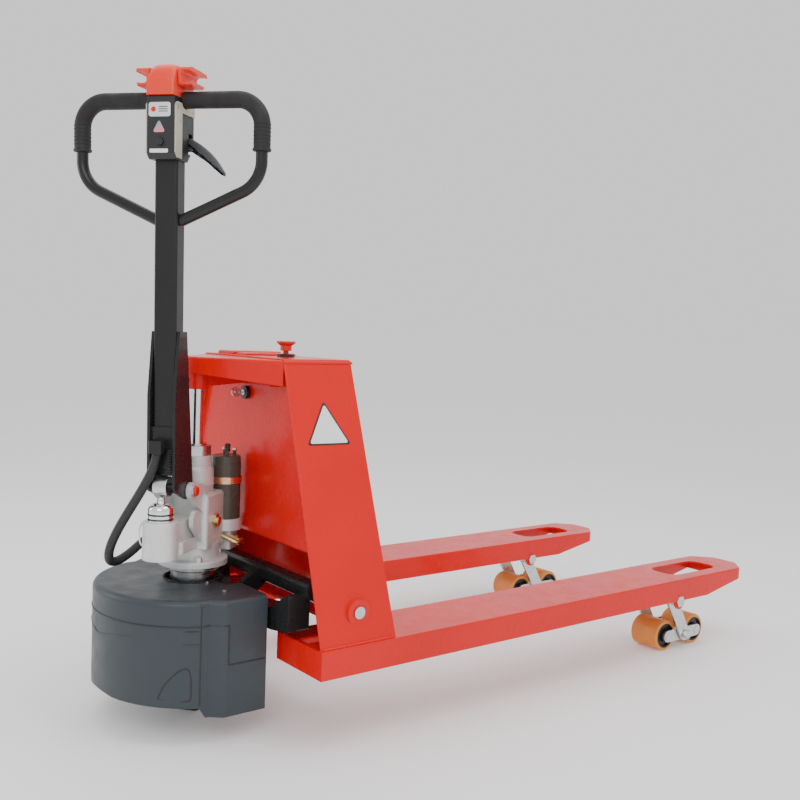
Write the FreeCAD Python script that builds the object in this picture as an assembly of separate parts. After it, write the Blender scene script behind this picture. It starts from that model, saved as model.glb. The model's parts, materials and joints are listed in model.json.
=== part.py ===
import FreeCAD, Part
import math
import os

# Semi-electric pallet truck, millimetres.
# Every shape is drawn round the steering axis, which stands on the floor at (0, 0, 0), with the
# forks along +X, the operator's left along +Y and up along +Z, then moved so that the origin is
# the middle of the footprint.  The forks are drawn raised.  Steered pieces are drawn straight
# ahead and turned by steer_angle when they are written, and the tiller also leans by tiller_lean.

V = FreeCAD.Vector
ALONG_X, ALONG_Y, ALONG_Z = V(1, 0, 0), V(0, 1, 0), V(0, 0, 1)
SIDES = {"left": 1, "right": -1}

# overall
overall_width = 685.0
tip_x = 1491.0
front_reach = 240.7
steer_angle = 39.0
tiller_lean = 1.6

# forks
fork_top = 195.0
fork_root_x = 96.0
fork_width = 160.0
fork_depth = 55.0
fork_wall = 4.5
tip_depth = 20.0
taper_length = 190.0
tip_chamfer = 46.0
fork_y = (overall_width - fork_width) / 2
slot_x = (1204.0, 1398.0)
slot_width = 84.0
root_slot_x = (106.0, 252.0)
root_slot_width = 34.0
seat_depth = 0.3
lug_radius = 20.0

# box between the forks and the lift head
box_front_x = 101.0
box_back_x = 277.0
box_back_top_x = 260.0
box_top = 724.0
box_top_half = 170.0
box_bottom_half = 332.5
side_wall = 6.0
front_plate_x = 116.0
front_plate_bottom = 362.0
plate_wall = 4.0
side_slope = (box_bottom_half - box_top_half) / (box_top - fork_top)
head_top = 730.0
nose_radius = 31.0
boss_radius = 21.0
boss_bottom = 664.0
head_low_nose = 698.0
head_low_box = 676.0
head_plan_reach = box_front_x - 0.1
cap_half_at_box = box_top_half - 2
inner_inset = side_wall / math.cos(math.atan(side_slope)) + 0.05
stop_place = V(180.0, -45.0, 0)
key_z = 656.0

# lift linkage, in the vertical plane of each fork
frame_pin = V(194.0, 0, 252.0)
frame_pin_radius = 12.0
trunnion = V(10.0, 0, 203.0)
trunnion_radius = 12.0
beam_centre = V(121.0, 0, 292.0)
rocker_swing = 33.2
rocker_arm = 74.0
rocker_wing_x = (70.0, 118.0)
bracket_pin = V(1184.5, 0, 139.0)
bracket_swing = 63.07
bracket_lever = 40.4
roller_radius = 39.0
roller_width = 80.0
roller_bore = 10.0
bogie_pin = V(1246.5, 0, roller_radius)
bogie_pitch = 120.0
link_eye = 15.0

# steering, drive and pump
wheel_radius = 85.0
wheel_width = 60.0
spindle_radius = 45.0
spindle_bottom = 184.0
flange_radius = 70.0
flange_z = (307.0, 320.0)
block_top = 455.0
block_x = (-46.0, 44.0)
block_half = 49.0
waist_radius = 52.0
cylinder_radius = 37.5
rod_radius = 15.0
gland_z = (529.0, 549.0)
motor_place = V(65.0, -40.0, 0)
motor_radius = 31.0
plunger_x = -150.0
plunger_radius = 25.0
plunger_floor = 358.0
plunger_cap = 464.6
boss_top = 419.0
tiller_pin = V(-90.0, 0, 470.0)
cover_radius = 197.0
cover_half = 203.0
cover_back_x = 60.0
cover_bottom = 52.0
cover_top = 277.0
cover_wall = 4.0
screw_places = ((0.0, 66.0), (0.0, -66.0), (0.0, 140.0), (0.0, -140.0))
seam_z = 229.0
step_z = 153.0
step_x = -22.0

# tiller
mast_x = -124.0
mast_width = 46.0
mast_depth = 36.0
mast_top = 1120.0
loop_half = 181.0
loop_top = 1207.0
loop_elbow_z = 1057.0
loop_foot_z = 984.0
loop_tube = 11.0
grip_radius = 15.5
grip_end_z = 1116.0
grip_inner_y = 57.0
foot_half = 29.0
roller_axle = V(-141.0, 0, 486.0)
roller_wheel = 19.6
box_x = (mast_x - 40, mast_x + 42)
box_z = (1096.0, 1209.0)
box_half_width = 27.0
horn_z = 1126.0
head_x = (mast_x - 46, mast_x + 44)
head_half = 27.0
throttle_axis = V(mast_x - 2, 0, 1241.0)
wing_y = (28.5, 54.0)
lever_pivot = V(mast_x + mast_depth / 2 + 10, -20.0, 1134.0)

# conduit between the mast's foot and the pump block
conduit_radius = 9.0
conduit_route = [V(-160, 4, 552), V(-161, 9, 526), V(-163, 22, 497), V(-164, 42, 462), V(-163, 65, 426),
                 V(-160, 87, 390), V(-154, 105, 354), V(-136, 114, 327), V(-108, 112, 321),
                 V(-80, 102, 331), V(-56, 88, 350), V(-38, 74, 366), V(-30, 60.05, 374)]

# running and fitting clearances
press = 0.05
running = 0.06
loose = 0.2


# ---------------------------------------------------------------- helpers

def block(x0, x1, y0, y1, z0, z1):
    return Part.makeBox(x1 - x0, y1 - y0, z1 - z0, V(x0, y0, z0))


def bar(start, end, radius):
    run = end - start
    return Part.makeCylinder(radius, run.Length, start, run)


def at(x, y, z):
    return V(x, y, z)


def cross_bar(centre, y0, y1, radius):
    return bar(at(centre.x, y0, centre.z), at(centre.x, y1, centre.z), radius)


def post(x, y, z0, z1, radius):
    return bar(at(x, y, z0), at(x, y, z1), radius)


def joined(shapes):
    whole = shapes[0].fuse(shapes[1:])
    return whole.removeSplitter()


def without(shape, tools):
    return shape.cut(tools)


def group(shapes):
    return Part.makeCompound(shapes)


def corner_arc(before, corner, after, radius):
    """Tangent points and middle of the arc that rounds one corner of a path."""
    back = (before - corner).normalize()
    ahead = (after - corner).normalize()
    half = back.getAngle(ahead) / 2
    setback = radius / math.tan(half)
    middle = corner + (back + ahead).normalize() * (radius / math.sin(half) - radius)
    return corner + back * setback, middle, corner + ahead * setback


def rounded_wire(corners, radii, closed):
    """Straight runs joined by tangent arcs; a radius of 0 keeps the corner sharp."""
    count = len(corners)
    arcs = []
    for i in range(count):
        inside = closed or 0 < i < count - 1
        if inside and radii[i] > 0:
            arcs.append(corner_arc(corners[i - 1], corners[i], corners[(i + 1) % count], radii[i]))
        else:
            arcs.append((corners[i], None, corners[i]))
    edges = []
    for i in range(count):
        start, middle, end = arcs[i]
        if middle is not None:
            edges.append(Part.Arc(start, middle, end).toShape())
        if i < count - 1 or closed:
            following = arcs[(i + 1) % count][0]
            if end.distanceToPoint(following) > 1e-6:
                edges.append(Part.LineSegment(end, following).toShape())
    return Part.Wire(edges)


def plate(corners, radii, thickness):
    """Closed outline with rounded corners, thickened along the given vector."""
    return Part.Face(rounded_wire(corners, radii, True)).extrude(thickness)


def plate_xz(points, radius, y0, y1):
    corners = [at(x, y0, z) for x, z in points]
    return plate(corners, [radius] * len(corners), at(0, y1 - y0, 0))


def plate_yz(points, radius, x0, x1):
    corners = [at(x0, y, z) for y, z in points]
    return plate(corners, [radius] * len(corners), at(x1 - x0, 0, 0))


def plate_xy(points, radii, z0, z1):
    corners = [at(x, y, z0) for x, y in points]
    return plate(corners, radii, at(0, 0, z1 - z0))


def tube(corners, radii, radius):
    path = rounded_wire(corners, radii, False)
    run = corners[1] - corners[0]
    circle = Part.Wire([Part.makeCircle(radius, corners[0], run)])
    return path.makePipeShell([circle], True, True)


def link(a, radius_a, b, radius_b, y0, y1):
    """Flat link with a round eye at each end and straight flanks tangent to both."""
    run = b - a
    heading = math.atan2(run.z, run.x)
    spread = math.acos((radius_a - radius_b) / run.Length)
    corners = []
    for centre, radius, sign in ((a, radius_a, 1), (b, radius_b, 1), (b, radius_b, -1), (a, radius_a, -1)):
        turn = heading + sign * spread
        corners.append((centre.x + radius * math.cos(turn), centre.z + radius * math.sin(turn)))
    flank = plate_xz(corners, 0, y0, y1)
    return joined([flank, cross_bar(a, y0, y1, radius_a), cross_bar(b, y0, y1, radius_b)])


def straight_edges(shape, direction):
    chosen = []
    for edge in shape.Edges:
        if not isinstance(edge.Curve, Part.Line):
            continue
        if abs(edge.tangentAt(edge.FirstParameter).dot(direction)) > 0.999:
            chosen.append(edge)
    return chosen


def softened(shape, radius, direction):
    return shape.makeFillet(radius, straight_edges(shape, direction))


def edges_at_z(shape, z):
    return [e for e in shape.Edges if abs(e.BoundBox.ZMin - z) < 1e-3 and abs(e.BoundBox.ZMax - z) < 1e-3]


def nut(centre, height, across, direction):
    """Hexagonal nut or bolt head standing on the given point."""
    radius = across / math.sqrt(3)
    side = direction.cross(ALONG_Z)
    if side.Length < 0.5:
        side = V(ALONG_X)
    up = direction.cross(side)
    corners = []
    for i in range(6):
        turn = i * math.pi / 3
        corners.append(centre + side * (radius * math.cos(turn)) + up * (radius * math.sin(turn)))
    return Part.Face(rounded_wire(corners, [0] * 6, True)).extrude(direction * height)


def polar(centre, length, degrees):
    turn = math.radians(degrees)
    return at(centre.x + length * math.cos(turn), 0, centre.z + length * math.sin(turn))


crank_pin = polar(frame_pin, rocker_arm, -90 + rocker_swing / 2)
lever_pin = polar(bracket_pin, bracket_lever, 90 - bracket_swing / 2)


def box_half(z):
    """Half width of the box's outer faces at height z: its sides lean inwards."""
    return box_bottom_half - (z - fork_top) * side_slope


# ---------------------------------------------------------------- forks and frame

def fork(side):
    y0 = side * fork_y - fork_width / 2
    y1 = y0 + fork_width
    bottom = fork_top - fork_depth
    taper_x = tip_x - taper_length
    profile = [(fork_root_x, fork_top), (tip_x, fork_top), (tip_x, fork_top - tip_depth),
               (taper_x, bottom), (fork_root_x, bottom)]
    body = plate_xz(profile, 0, y0, y1)
    plan = [(fork_root_x, y0), (tip_x - tip_chamfer, y0), (tip_x, y0 + tip_chamfer),
            (tip_x, y1 - tip_chamfer), (tip_x - tip_chamfer, y1), (fork_root_x, y1)]
    body = body.common(plate_xy(plan, [0, 22, 22, 22, 22, 0], bottom - 1, fork_top + 1))
    body = body.makeFillet(3, [e for e in edges_at_z(body, fork_top) if e.BoundBox.XMax > fork_root_x + 1])
    for face_y in (y0, y1 - fork_wall):
        lug = link(bracket_pin, lug_radius, bracket_pin + at(0, 0, 30), 26, face_y, face_y + fork_wall)
        body = body.fuse(lug)
    hollow = block(fork_root_x + 6, tip_x - 62, y0 + fork_wall, y1 - fork_wall,
                   bottom - 30, fork_top - fork_wall)
    centre = side * fork_y
    half = slot_width / 2
    slot = block(slot_x[0], slot_x[1], centre - half, centre + half, bottom, fork_top + 1)
    slot = softened(slot, 30, ALONG_Z)
    root_slot = block(root_slot_x[0], root_slot_x[1], centre - root_slot_width / 2,
                      centre + root_slot_width / 2, bottom, fork_top + 1)
    bore = cross_bar(bracket_pin, y0 - 1, y1 + 1, 9 + loose)
    seat = block(fork_root_x - 1, box_back_x + 0.5, y0 - 1, y1 + 1, fork_top - seat_depth, fork_top + 1)
    return without(body, [hollow, slot, root_slot, bore, seat]).removeSplitter()


def side_plate(side):
    """Leaning plate from the fork's outer edge up to the box top, with a rounded front edge."""
    low, high = fork_top - 20, box_top
    outer = [at(box_front_x, box_half(low), low), at(box_back_x, box_half(low), low),
             at(box_back_top_x, box_half(high), high), at(box_front_x, box_half(high), high)]
    lean = math.atan(side_slope)
    inward = at(0, -math.cos(lean), -math.sin(lean)) * side_wall
    sheet = plate(outer, [0, 0, 0, 0], inward)
    sheet = sheet.common(block(0, 400, 0, 400, fork_top - seat_depth, high))
    front_edges = [e for e in sheet.Edges if abs(e.BoundBox.XMin - box_front_x) < 0.01
                   and abs(e.BoundBox.XMax - box_front_x) < 0.01 and e.Length > 300]
    sheet = sheet.makeFillet(2.6, front_edges)
    eye_y = box_half(frame_pin.z)
    boss = cross_bar(frame_pin, eye_y - 24, eye_y + 6, 26)
    bore = cross_bar(frame_pin, eye_y - 40, eye_y + 20, frame_pin_radius + loose)
    sheet = sheet.fuse(boss).cut(bore).removeSplitter()
    if side < 0:
        sheet = sheet.mirror(V(0, 0, 0), ALONG_Y)
    return sheet


def trapezoid(x0, x1, z0, z1, inset):
    """Slab across the box between its leaning sides."""
    low, high = box_half(z0) - inset, box_half(z1) - inset
    return plate_yz([(-low, z0), (low, z0), (high, z1), (-high, z1)], 0, x0, x1)


def front_plate():
    """Front sheet with the folded shelf that carries the batteries."""
    sheet = trapezoid(front_plate_x, front_plate_x + plate_wall, front_plate_bottom, box_top, inner_inset)
    shelf_top = front_plate_bottom + plate_wall
    shelf = trapezoid(front_plate_x, box_back_x - 32, front_plate_bottom, shelf_top, inner_inset)
    key_hole = bar(at(front_plate_x - 1, 0, key_z), at(front_plate_x + 9, 0, key_z), 9.2)
    folded = joined([sheet, shelf]).cut(key_hole)
    bend = [e for e in straight_edges(folded, ALONG_Y)
            if abs(e.BoundBox.ZMin - front_plate_bottom) < 0.01 and e.BoundBox.XMax < front_plate_x + 0.01]
    return folded.makeFillet(3, bend)


def back_plate():
    """Load face: a sheet between the sides, with a foot between the forks."""
    sheet = trapezoid(box_back_x - 30, box_back_x - 24, fork_top - seat_depth, box_top, inner_inset)
    brace = block(box_back_x - 60, box_back_x - 24, -180, 180, fork_top, fork_top + 6)
    return joined([sheet, brace])




def head_outline(shrink, z0, z1):
    """Plan of the lift head: a round nose over the rod that widens to the box."""
    nose = nose_radius - shrink
    spread = math.atan2(cap_half_at_box - nose_radius, head_plan_reach)
    tail = cap_half_at_box - shrink
    touch = at(-nose * math.sin(spread), nose * math.cos(spread), z0)
    end_x = head_plan_reach
    upper = [touch, at(end_x, tail, z0)]
    lower = [at(end_x, -tail, z0), at(touch.x, -touch.y, z0)]
    edges = [Part.LineSegment(upper[0], upper[1]).toShape(),
             Part.LineSegment(upper[1], lower[0]).toShape(),
             Part.LineSegment(lower[0], lower[1]).toShape(),
             Part.Arc(lower[1], at(-nose, 0, z0), upper[0]).toShape()]
    return Part.Face(Part.Wire(edges)).extrude(at(0, 0, z1 - z0))


def lift_head():
    wall = 6.0
    cap = head_outline(0, head_low_box - 10, head_top)
    cap = cap.makeFillet(5, [e for e in edges_at_z(cap, head_top) if e.BoundBox.XMin < box_front_x - 1])
    hollow = head_outline(wall, head_low_box - 20, head_top - wall)
    floor_z = head_low_box - 60
    under = plate_xz([(-60, head_low_nose), (-nose_radius, head_low_nose), (box_front_x + 20, head_low_box),
                      (box_front_x + 20, floor_z), (-60, floor_z)], 0, -250, 250)
    cap = without(cap, [hollow, under])
    boss = post(0, 0, boss_bottom, head_top - wall, boss_radius)
    web = plate_xz([(10, head_top - wall), (10, boss_bottom + 8), (30, boss_bottom + 6),
                    (head_plan_reach, head_low_box), (head_plan_reach, head_top - wall)], 0, -5, 5)
    tail = block(head_plan_reach - wall, head_plan_reach, -130, 130, head_low_box, head_top - wall)
    reach = block(head_plan_reach - 0.01, front_plate_x - press, -130, 130, head_low_box, box_top - 12)
    socket = post(0, 0, boss_bottom - 1, boss_bottom + 40, rod_radius + press)
    grub = bar(at(-boss_radius - 6, 0, boss_bottom + 18), at(-rod_radius + 1, 0, boss_bottom + 18), 4)
    whole = joined([cap, boss, web, tail, reach]).cut(socket)
    return whole.fuse(grub.cut(post(0, 0, 600, 720, rod_radius + 0.3))).removeSplitter()


def piston_rod():
    return post(0, 0, 448, boss_bottom + 39.5, rod_radius)


def top_cover():
    """Removable lid over the batteries, with two raised panels and chamfered ends."""
    half = box_half(box_top) + 1
    x0, x1 = box_front_x + 0.1, box_back_top_x + 3
    lid = block(x0, x1, -half, half, box_top + 0.05, head_top + 3)
    lid = lid.makeChamfer(5.5, [e for e in edges_at_z(lid, head_top + 3) if e.BoundBox.XMax > x0 + 1])
    panels = []
    for y0, y1, rise in ((20, 62, 5), (80, 148, 7)):
        panel = block(x0 + 22, x1 - 18, y0, y1, head_top + 2, head_top + 3 + rise)
        panels.append(panel.makeFillet(4, edges_at_z(panel, head_top + 3 + rise)))
    hole = post(stop_place.x, stop_place.y, box_top - 1, head_top + 20, 11.2)
    return joined([lid] + panels).cut(hole)


def stop_base():
    """Collar and switch body of the emergency stop, through the top cover."""
    collar = post(stop_place.x, stop_place.y, head_top + 3.1, head_top + 9, 18)
    stem = post(stop_place.x, stop_place.y, 690, head_top + 4, 11)
    body = block(stop_place.x - 15, stop_place.x + 15, stop_place.y - 20, stop_place.y + 20, 660, 691)
    bore = post(stop_place.x, stop_place.y, 700, head_top + 10, 6.5)
    return joined([collar, stem, body]).cut(bore)


def stop_button():
    x, y, z = stop_place.x, stop_place.y, head_top
    stem = post(x, y, z - 20, z + 28, 6)
    neck = post(x, y, z + 16, z + 30, 12)
    cone = Part.makeCone(13, 20, 5, at(x, y, z + 27), ALONG_Z)
    disc = post(x, y, z + 32, z + 36, 20)
    return joined([stem, neck, cone, disc])


def key_switch():
    face = front_plate_x
    flange = bar(at(face - 9, 0, key_z), at(face - 0.05, 0, key_z), 14)
    barrel = bar(at(face - 1, 0, key_z), at(face + 34, 0, key_z), 9)
    keyway = bar(at(face - 20, 0, key_z), at(face + 12, 0, key_z), 6.1)
    return joined([flange, barrel]).cut(keyway)


def key():
    face = front_plate_x
    core = bar(at(face - 11, 0, key_z), at(face + 10, 0, key_z), 6)
    blade = block(face - 20, face - 10, -4, 4, key_z - 1.2, key_z + 1.2)
    bow = bar(at(face - 27, -1.5, key_z), at(face - 27, 1.5, key_z), 10)
    bow = bow.cut(bar(at(face - 32, -3, key_z), at(face - 32, 3, key_z), 2.5))
    return joined([core, blade, bow])


def batteries():
    """Two traction batteries side by side on the shelf, each with two terminal posts."""
    cells = []
    base = front_plate_bottom + plate_wall + 0.1
    for side in SIDES.values():
        y0, y1 = sorted((side * 4, side * 178))
        case = softened(block(124, 238, y0, y1, base, base + 170), 5, ALONG_Z)
        posts = [post(150, side * y, base + 169, base + 182, 8) for y in (40, 140)]
        cells.append(joined([case] + posts))
    return group(cells)


def controller():
    """Motor controller on the inside of the load face, with cooling fins."""
    face = box_back_x - 30.05
    body = softened(block(face - 34, face, -70, 70, 580, 690), 4, ALONG_X)
    fins = [block(face - 46, face - 33, y, y + 4, 585, 685) for y in range(-60, 61, 20)]
    return joined([body] + fins)


def frame_pins():
    """Rocker pins in the side plates and wheel-bracket pins in the fork lugs."""
    pins = []
    eye_y = box_half(frame_pin.z)
    for side in SIDES.values():
        y0, y1 = sorted((side * 248, side * (eye_y + 9)))
        pins.append(cross_bar(frame_pin, y0, y1, frame_pin_radius))
        outer = side * (fork_y + fork_width / 2)
        inner = side * (fork_y - fork_width / 2)
        y0, y1 = sorted((outer + side * 0.3, inner - side * 0.3))
        shank = cross_bar(bracket_pin, y0, y1, 9)
        head = nut(at(bracket_pin.x, outer + side * 0.1, bracket_pin.z), 3.5, 26, at(0, side, 0))
        tail = nut(at(bracket_pin.x, inner - side * 0.1, bracket_pin.z), 7, 26, at(0, -side, 0))
        pins.append(joined([shank, head, tail]))
    return group(pins)


# ---------------------------------------------------------------- lift linkage

def rocker():
    """Casting that swings on the frame pins and hooks over the trunnions of the bearing housing."""
    beam = block(beam_centre.x - 18, beam_centre.x + 18, -275, 275, beam_centre.z - 16, beam_centre.z + 16)
    pieces = [softened(beam, 8, ALONG_Y)]
    for side in SIDES.values():
        y0, y1 = sorted((side * (fork_y - 13), side * (fork_y + 13)))
        pieces.append(link(frame_pin, 24, beam_centre, 18, y0, y1))
        y0, y1 = sorted((side * (fork_y - 9), side * (fork_y + 9)))
        pieces.append(link(frame_pin, 22, crank_pin, 11, y0, y1))
        y0, y1 = sorted((side * 72, side * 88))
        pieces.append(link(beam_centre, 17, trunnion, 26, y0, y1))
        wing = [(side * 262, 293), (side * 198, 250), (side * 72, 236), (side * 72, 205), (side * 198, 206),
                (side * 262, 215)]
        pieces.append(plate_yz(wing, 6, rocker_wing_x[0], rocker_wing_x[1]))
    tools = []
    for side in SIDES.values():
        y0, y1 = sorted((side * 240, side * 290))
        tools.append(cross_bar(frame_pin, y0, y1, frame_pin_radius + running))
        tools.append(block(130, 400, side * fork_y - 4.5, side * fork_y + 4.5, 100, crank_pin.z + 26))
        y0, y1 = sorted((side * 70, side * 90))
        tools.append(cross_bar(trunnion, y0, y1, trunnion_radius + 8))
    arms = joined(pieces).cut(tools).removeSplitter()
    pins = [cross_bar(crank_pin, side * fork_y - 9, side * fork_y + 9, 5) for side in SIDES.values()]
    return joined([arms] + pins)


def push_rod(side):
    """Rod inside the fork from the rocker's crank to the wheel bracket's lever."""
    y0, y1 = side * fork_y - 3.6, side * fork_y + 3.6
    centre = side * fork_y
    shaft = bar(at(crank_pin.x + 20, centre, crank_pin.z), at(lever_pin.x - 20, centre, lever_pin.z), 7)
    tail = block(crank_pin.x - 10, crank_pin.x + 26, y0, y1, crank_pin.z - 14, crank_pin.z + 8)
    nose = block(lever_pin.x - 26, lever_pin.x + 11, y0, y1, lever_pin.z - 9, lever_pin.z + 15)
    slots = [block(crank_pin.x - 5.7, crank_pin.x + 5.7, y0 - 1, y1 + 1, crank_pin.z - 9.5, crank_pin.z + 5.5),
             block(lever_pin.x - 5.7, lever_pin.x + 5.7, y0 - 1, y1 + 1, lever_pin.z - 5.6, lever_pin.z + 12)]
    return joined([shaft, tail, nose]).cut(slots)


def wheel_bracket(side):
    """Forked bracket that swings the bogie down: two plates, a pivot tube and the lever pin."""
    centre = side * fork_y
    pieces = []
    for y0 in (centre - 58, centre + 52):
        pieces.append(link(bracket_pin, 19, bogie_pin, 17, y0, y0 + 6))
        pieces.append(link(bracket_pin, 19, lever_pin, 10, y0, y0 + 6))
    pieces.append(cross_bar(bracket_pin, centre - 73, centre + 73, 14))
    pieces.append(cross_bar(lever_pin, centre - 55, centre + 55, 5))
    bores = [cross_bar(bracket_pin, centre - 80, centre + 80, 9.06),
             cross_bar(bogie_pin, centre - 80, centre + 80, 9.06)]
    return joined(pieces).cut(bores)


def roller_centre(step):
    return bogie_pin + at(step * bogie_pitch / 2, 0, 0)


def bogie(side):
    """Pair of link plates with the pivot pin and the two roller axles and their nuts."""
    centre = side * fork_y
    pieces = []
    for y0 in (centre - 50, centre + 44.5):
        pieces.append(link(roller_centre(-1), link_eye, roller_centre(1), link_eye, y0, y0 + 5.5))
    pieces.append(cross_bar(bogie_pin, centre - 62, centre + 62, 9))
    for step in (-1, 1):
        axle = roller_centre(step)
        pieces.append(cross_bar(axle, centre - 52, centre + 52, roller_bore - 0.05))
        for facing in (-1, 1):
            start = at(axle.x, centre + facing * 50, axle.z)
            pieces.append(nut(start, 1.9, 18, at(0, facing, 0)))
    for facing in (-1, 1):
        pieces.append(nut(at(bogie_pin.x, centre + facing * 61, bogie_pin.z), 7, 20, at(0, facing, 0)))
    return joined(pieces)


def roller_tyre(side, step):
    axle = roller_centre(step)
    centre = side * fork_y
    y0, y1 = centre - roller_width / 2, centre + roller_width / 2
    tyre = cross_bar(axle, y0, y1, roller_radius)
    tyre = tyre.makeFillet(4, [e for e in tyre.Edges if isinstance(e.Curve, Part.Circle)])
    return tyre.cut(cross_bar(axle, y0 - 1, y1 + 1, roller_radius - 8))


def roller_hub(side, step):
    axle = roller_centre(step)
    centre = side * fork_y
    y0, y1 = centre - roller_width / 2 - 1.5, centre + roller_width / 2 + 1.5
    hub = cross_bar(axle, y0, y1, roller_radius - 8.05)
    for facing in (y0 - 1, y1 - 5):
        recess = cross_bar(axle, facing, facing + 6, roller_radius - 12)
        hub = hub.cut(recess.cut(cross_bar(axle, facing, facing + 6, 17)))
    return hub.cut(cross_bar(axle, y0 - 1, y1 + 1, roller_bore))


# ---------------------------------------------------------------- base: bearing housing and drive cover

def bearing_housing():
    """Ring that the spindle turns in, with two trunnions and a top flange that carries the cover."""
    barrel = post(0, 0, spindle_bottom + 3, 266, 58)
    flange = post(0, 0, 258, cover_top - 9, 78)
    pins = [cross_bar(trunnion, side * 30, side * 92, trunnion_radius) for side in SIDES.values()]
    feet = [block(-8, 8, -150, 150, 254, cover_top - 9)]
    bore = post(0, 0, spindle_bottom - 1, cover_top + 1, spindle_radius + 0.05)
    return joined([barrel, flange] + pins + feet).cut(bore)


def cover_plan(shrink, z0, z1):
    """Plan of the drive cover: a round front and two side blocks with a groove between."""
    front = cover_radius - shrink
    half = cover_half - shrink
    back = cover_back_x
    groove = V(-52.0 + shrink * 0.4, cover_radius - 13 - shrink, z0)
    start_angle = math.atan2(groove.y + 6, -groove.x + 24)
    touch = at(-front * math.cos(start_angle), front * math.sin(start_angle), z0)
    left = [touch, groove, at(groove.x + 22, half, z0), at(back, half, z0)]
    right = [at(p.x, -p.y, z0) for p in reversed(left)]
    corners = left + right
    outline = rounded_wire(corners, [0, 4, 16, 0, 0, 16, 4, 0], False)
    nose = Part.Arc(right[-1], at(-front, 0, z0), touch).toShape()
    return Part.Face(Part.Wire(outline.Edges + [nose])).extrude(at(0, 0, z1 - z0))


def cover_space(shrink):
    """Solid form of the whole cover, with a rounded top and a front bottom edge that rises."""
    form = cover_plan(shrink, cover_bottom, cover_top - shrink)
    rim = [e for e in edges_at_z(form, cover_top - shrink) if e.BoundBox.XMin < cover_back_x - 1]
    form = form.makeFillet(12 - shrink, rim)
    slope = [(-260, 112), (-190, 76), (-70, 72), (-58, cover_bottom), (-58, 0), (-260, 0)]
    ramp = plate_xz(slope, 0, -260, 260)
    return form.cut(ramp)


def cover_shell():
    shell = cover_space(0).cut(cover_space(cover_wall))
    below = block(-300, 300, -300, 300, 0, cover_bottom + 0.01)
    back = block(cover_back_x - 0.01, 300, -300, 300, 0, 400)
    hole = post(0, 0, cover_top - 40, cover_top + 5, 56)
    x, z = cover_back_x + 5, cover_top + 9
    passage = plate_xz([(x, z), (-26, z), (-26, 160), (x, 160)], 0, -96, 96)
    passage = passage.cut(block(-100, 24, -200, 200, cover_top - 12, cover_top + 9))
    return without(shell, [below, back, hole, passage])


def seam_body(shift):
    """Space above the seam: over the front, and down to the step on the side blocks."""
    top = block(-260, cover_back_x + 1, -260, 260, seam_z + shift, cover_top + 20)
    step = block(step_x + shift, cover_back_x + 1, -260, 260, step_z + shift, seam_z + 5)
    return joined([top, step])


def drive_lid():
    bores = [post(x, y, cover_top - 10, cover_top + 1, 2.5) for x, y in screw_places]
    return cover_shell().common(seam_body(0.4)).cut(bores)


def drive_skirt():
    return cover_shell().cut(seam_body(-0.4))


def cover_screws():
    """Four screws through the lid into the housing's cross arm."""
    screws = []
    for x, y in screw_places:
        head = post(x, y, cover_top + 0.05, cover_top + 3, 5)
        screws.append(joined([head, post(x, y, cover_top - 8, cover_top + 1, 2.4)]))
    return group(screws)


# ---------------------------------------------------------------- steered: spindle, pump, drive

def steer_spindle():
    """Hollow steel spindle under the pump with its collar."""
    body = post(0, 0, spindle_bottom, flange_z[0] - 10, spindle_radius)
    collar = post(0, 0, flange_z[0] - 11, flange_z[0], 54)
    return joined([body, collar.makeFillet(2, edges_at_z(collar, flange_z[0] - 11))])


def pump_body():
    """Cast pump: flange, block, cylinder, tiller lugs and the plunger's boss."""
    flange = post(0, 0, flange_z[0] + 0.05, flange_z[1], flange_radius)
    flange = flange.makeFillet(2.5, edges_at_z(flange, flange_z[1]))
    waist = post(0, 0, flange_z[1] - 1, 352, waist_radius)
    core = block(block_x[0], block_x[1], -block_half, block_half, 345, block_top)
    core = softened(core, 8, ALONG_Z)
    core = core.makeChamfer(5, edges_at_z(core, block_top))
    barrel = post(0, 0, block_top - 5, 502, cylinder_radius)
    upper = post(0, 0, 500, gland_z[0] - 0.05, 32.5)
    shoulder = Part.makeCone(cylinder_radius, 32.5, 6, at(0, 0, 501.5), ALONG_Z)
    pieces = [flange, waist, core, barrel, upper, shoulder]
    for side in SIDES.values():
        y0, y1 = sorted((side * 30, side * 39))
        pieces.append(link(at(-20, 0, 440), 30, tiller_pin, 17, y0, y1))
        pieces.append(link(at(-25, 0, 372), 22, at(-70, 0, 408), 20, y0, y1))
    boss = post(plunger_x, 0, plunger_floor - 12, boss_top, 33)
    arm = block(plunger_x, -40, -24, 24, 366, 412)
    sump = softened(block(-118, -30, -30, 30, 348, 372), 10, ALONG_Z)
    inward = (conduit_route[-1] - conduit_route[-2]).normalize()
    gland = bar(conduit_route[-1] + inward * 24, conduit_route[-1] + inward * 0.35, 12)
    pieces += [boss.makeFillet(3, edges_at_z(boss, boss_top)), arm, sump, gland]
    body = joined(pieces)
    bores = [post(0, 0, 335, 560, rod_radius + press), cross_bar(tiller_pin, -60, 60, 8 + press),
             post(plunger_x, 0, plunger_floor, 430, plunger_radius + running),
             motor_post(391.9, 530, motor_radius + loose),
             block(plunger_x + 14, plunger_x + 50, -16, 16, 412, boss_top + 1)]
    return without(body, bores)


def gland_nut():
    hexagon = nut(at(0, 0, gland_z[0]), gland_z[1] - gland_z[0], 58, ALONG_Z)
    crown = post(0, 0, gland_z[0], gland_z[1] + 4, 31)
    return hexagon.common(crown).fuse(post(0, 0, gland_z[1] - 1, gland_z[1] + 4, 22)).removeSplitter().cut(
        post(0, 0, 500, 560, rod_radius + press))


def motor_post(z0, z1, radius):
    return post(motor_place.x, motor_place.y, z0, z1, radius)


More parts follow.
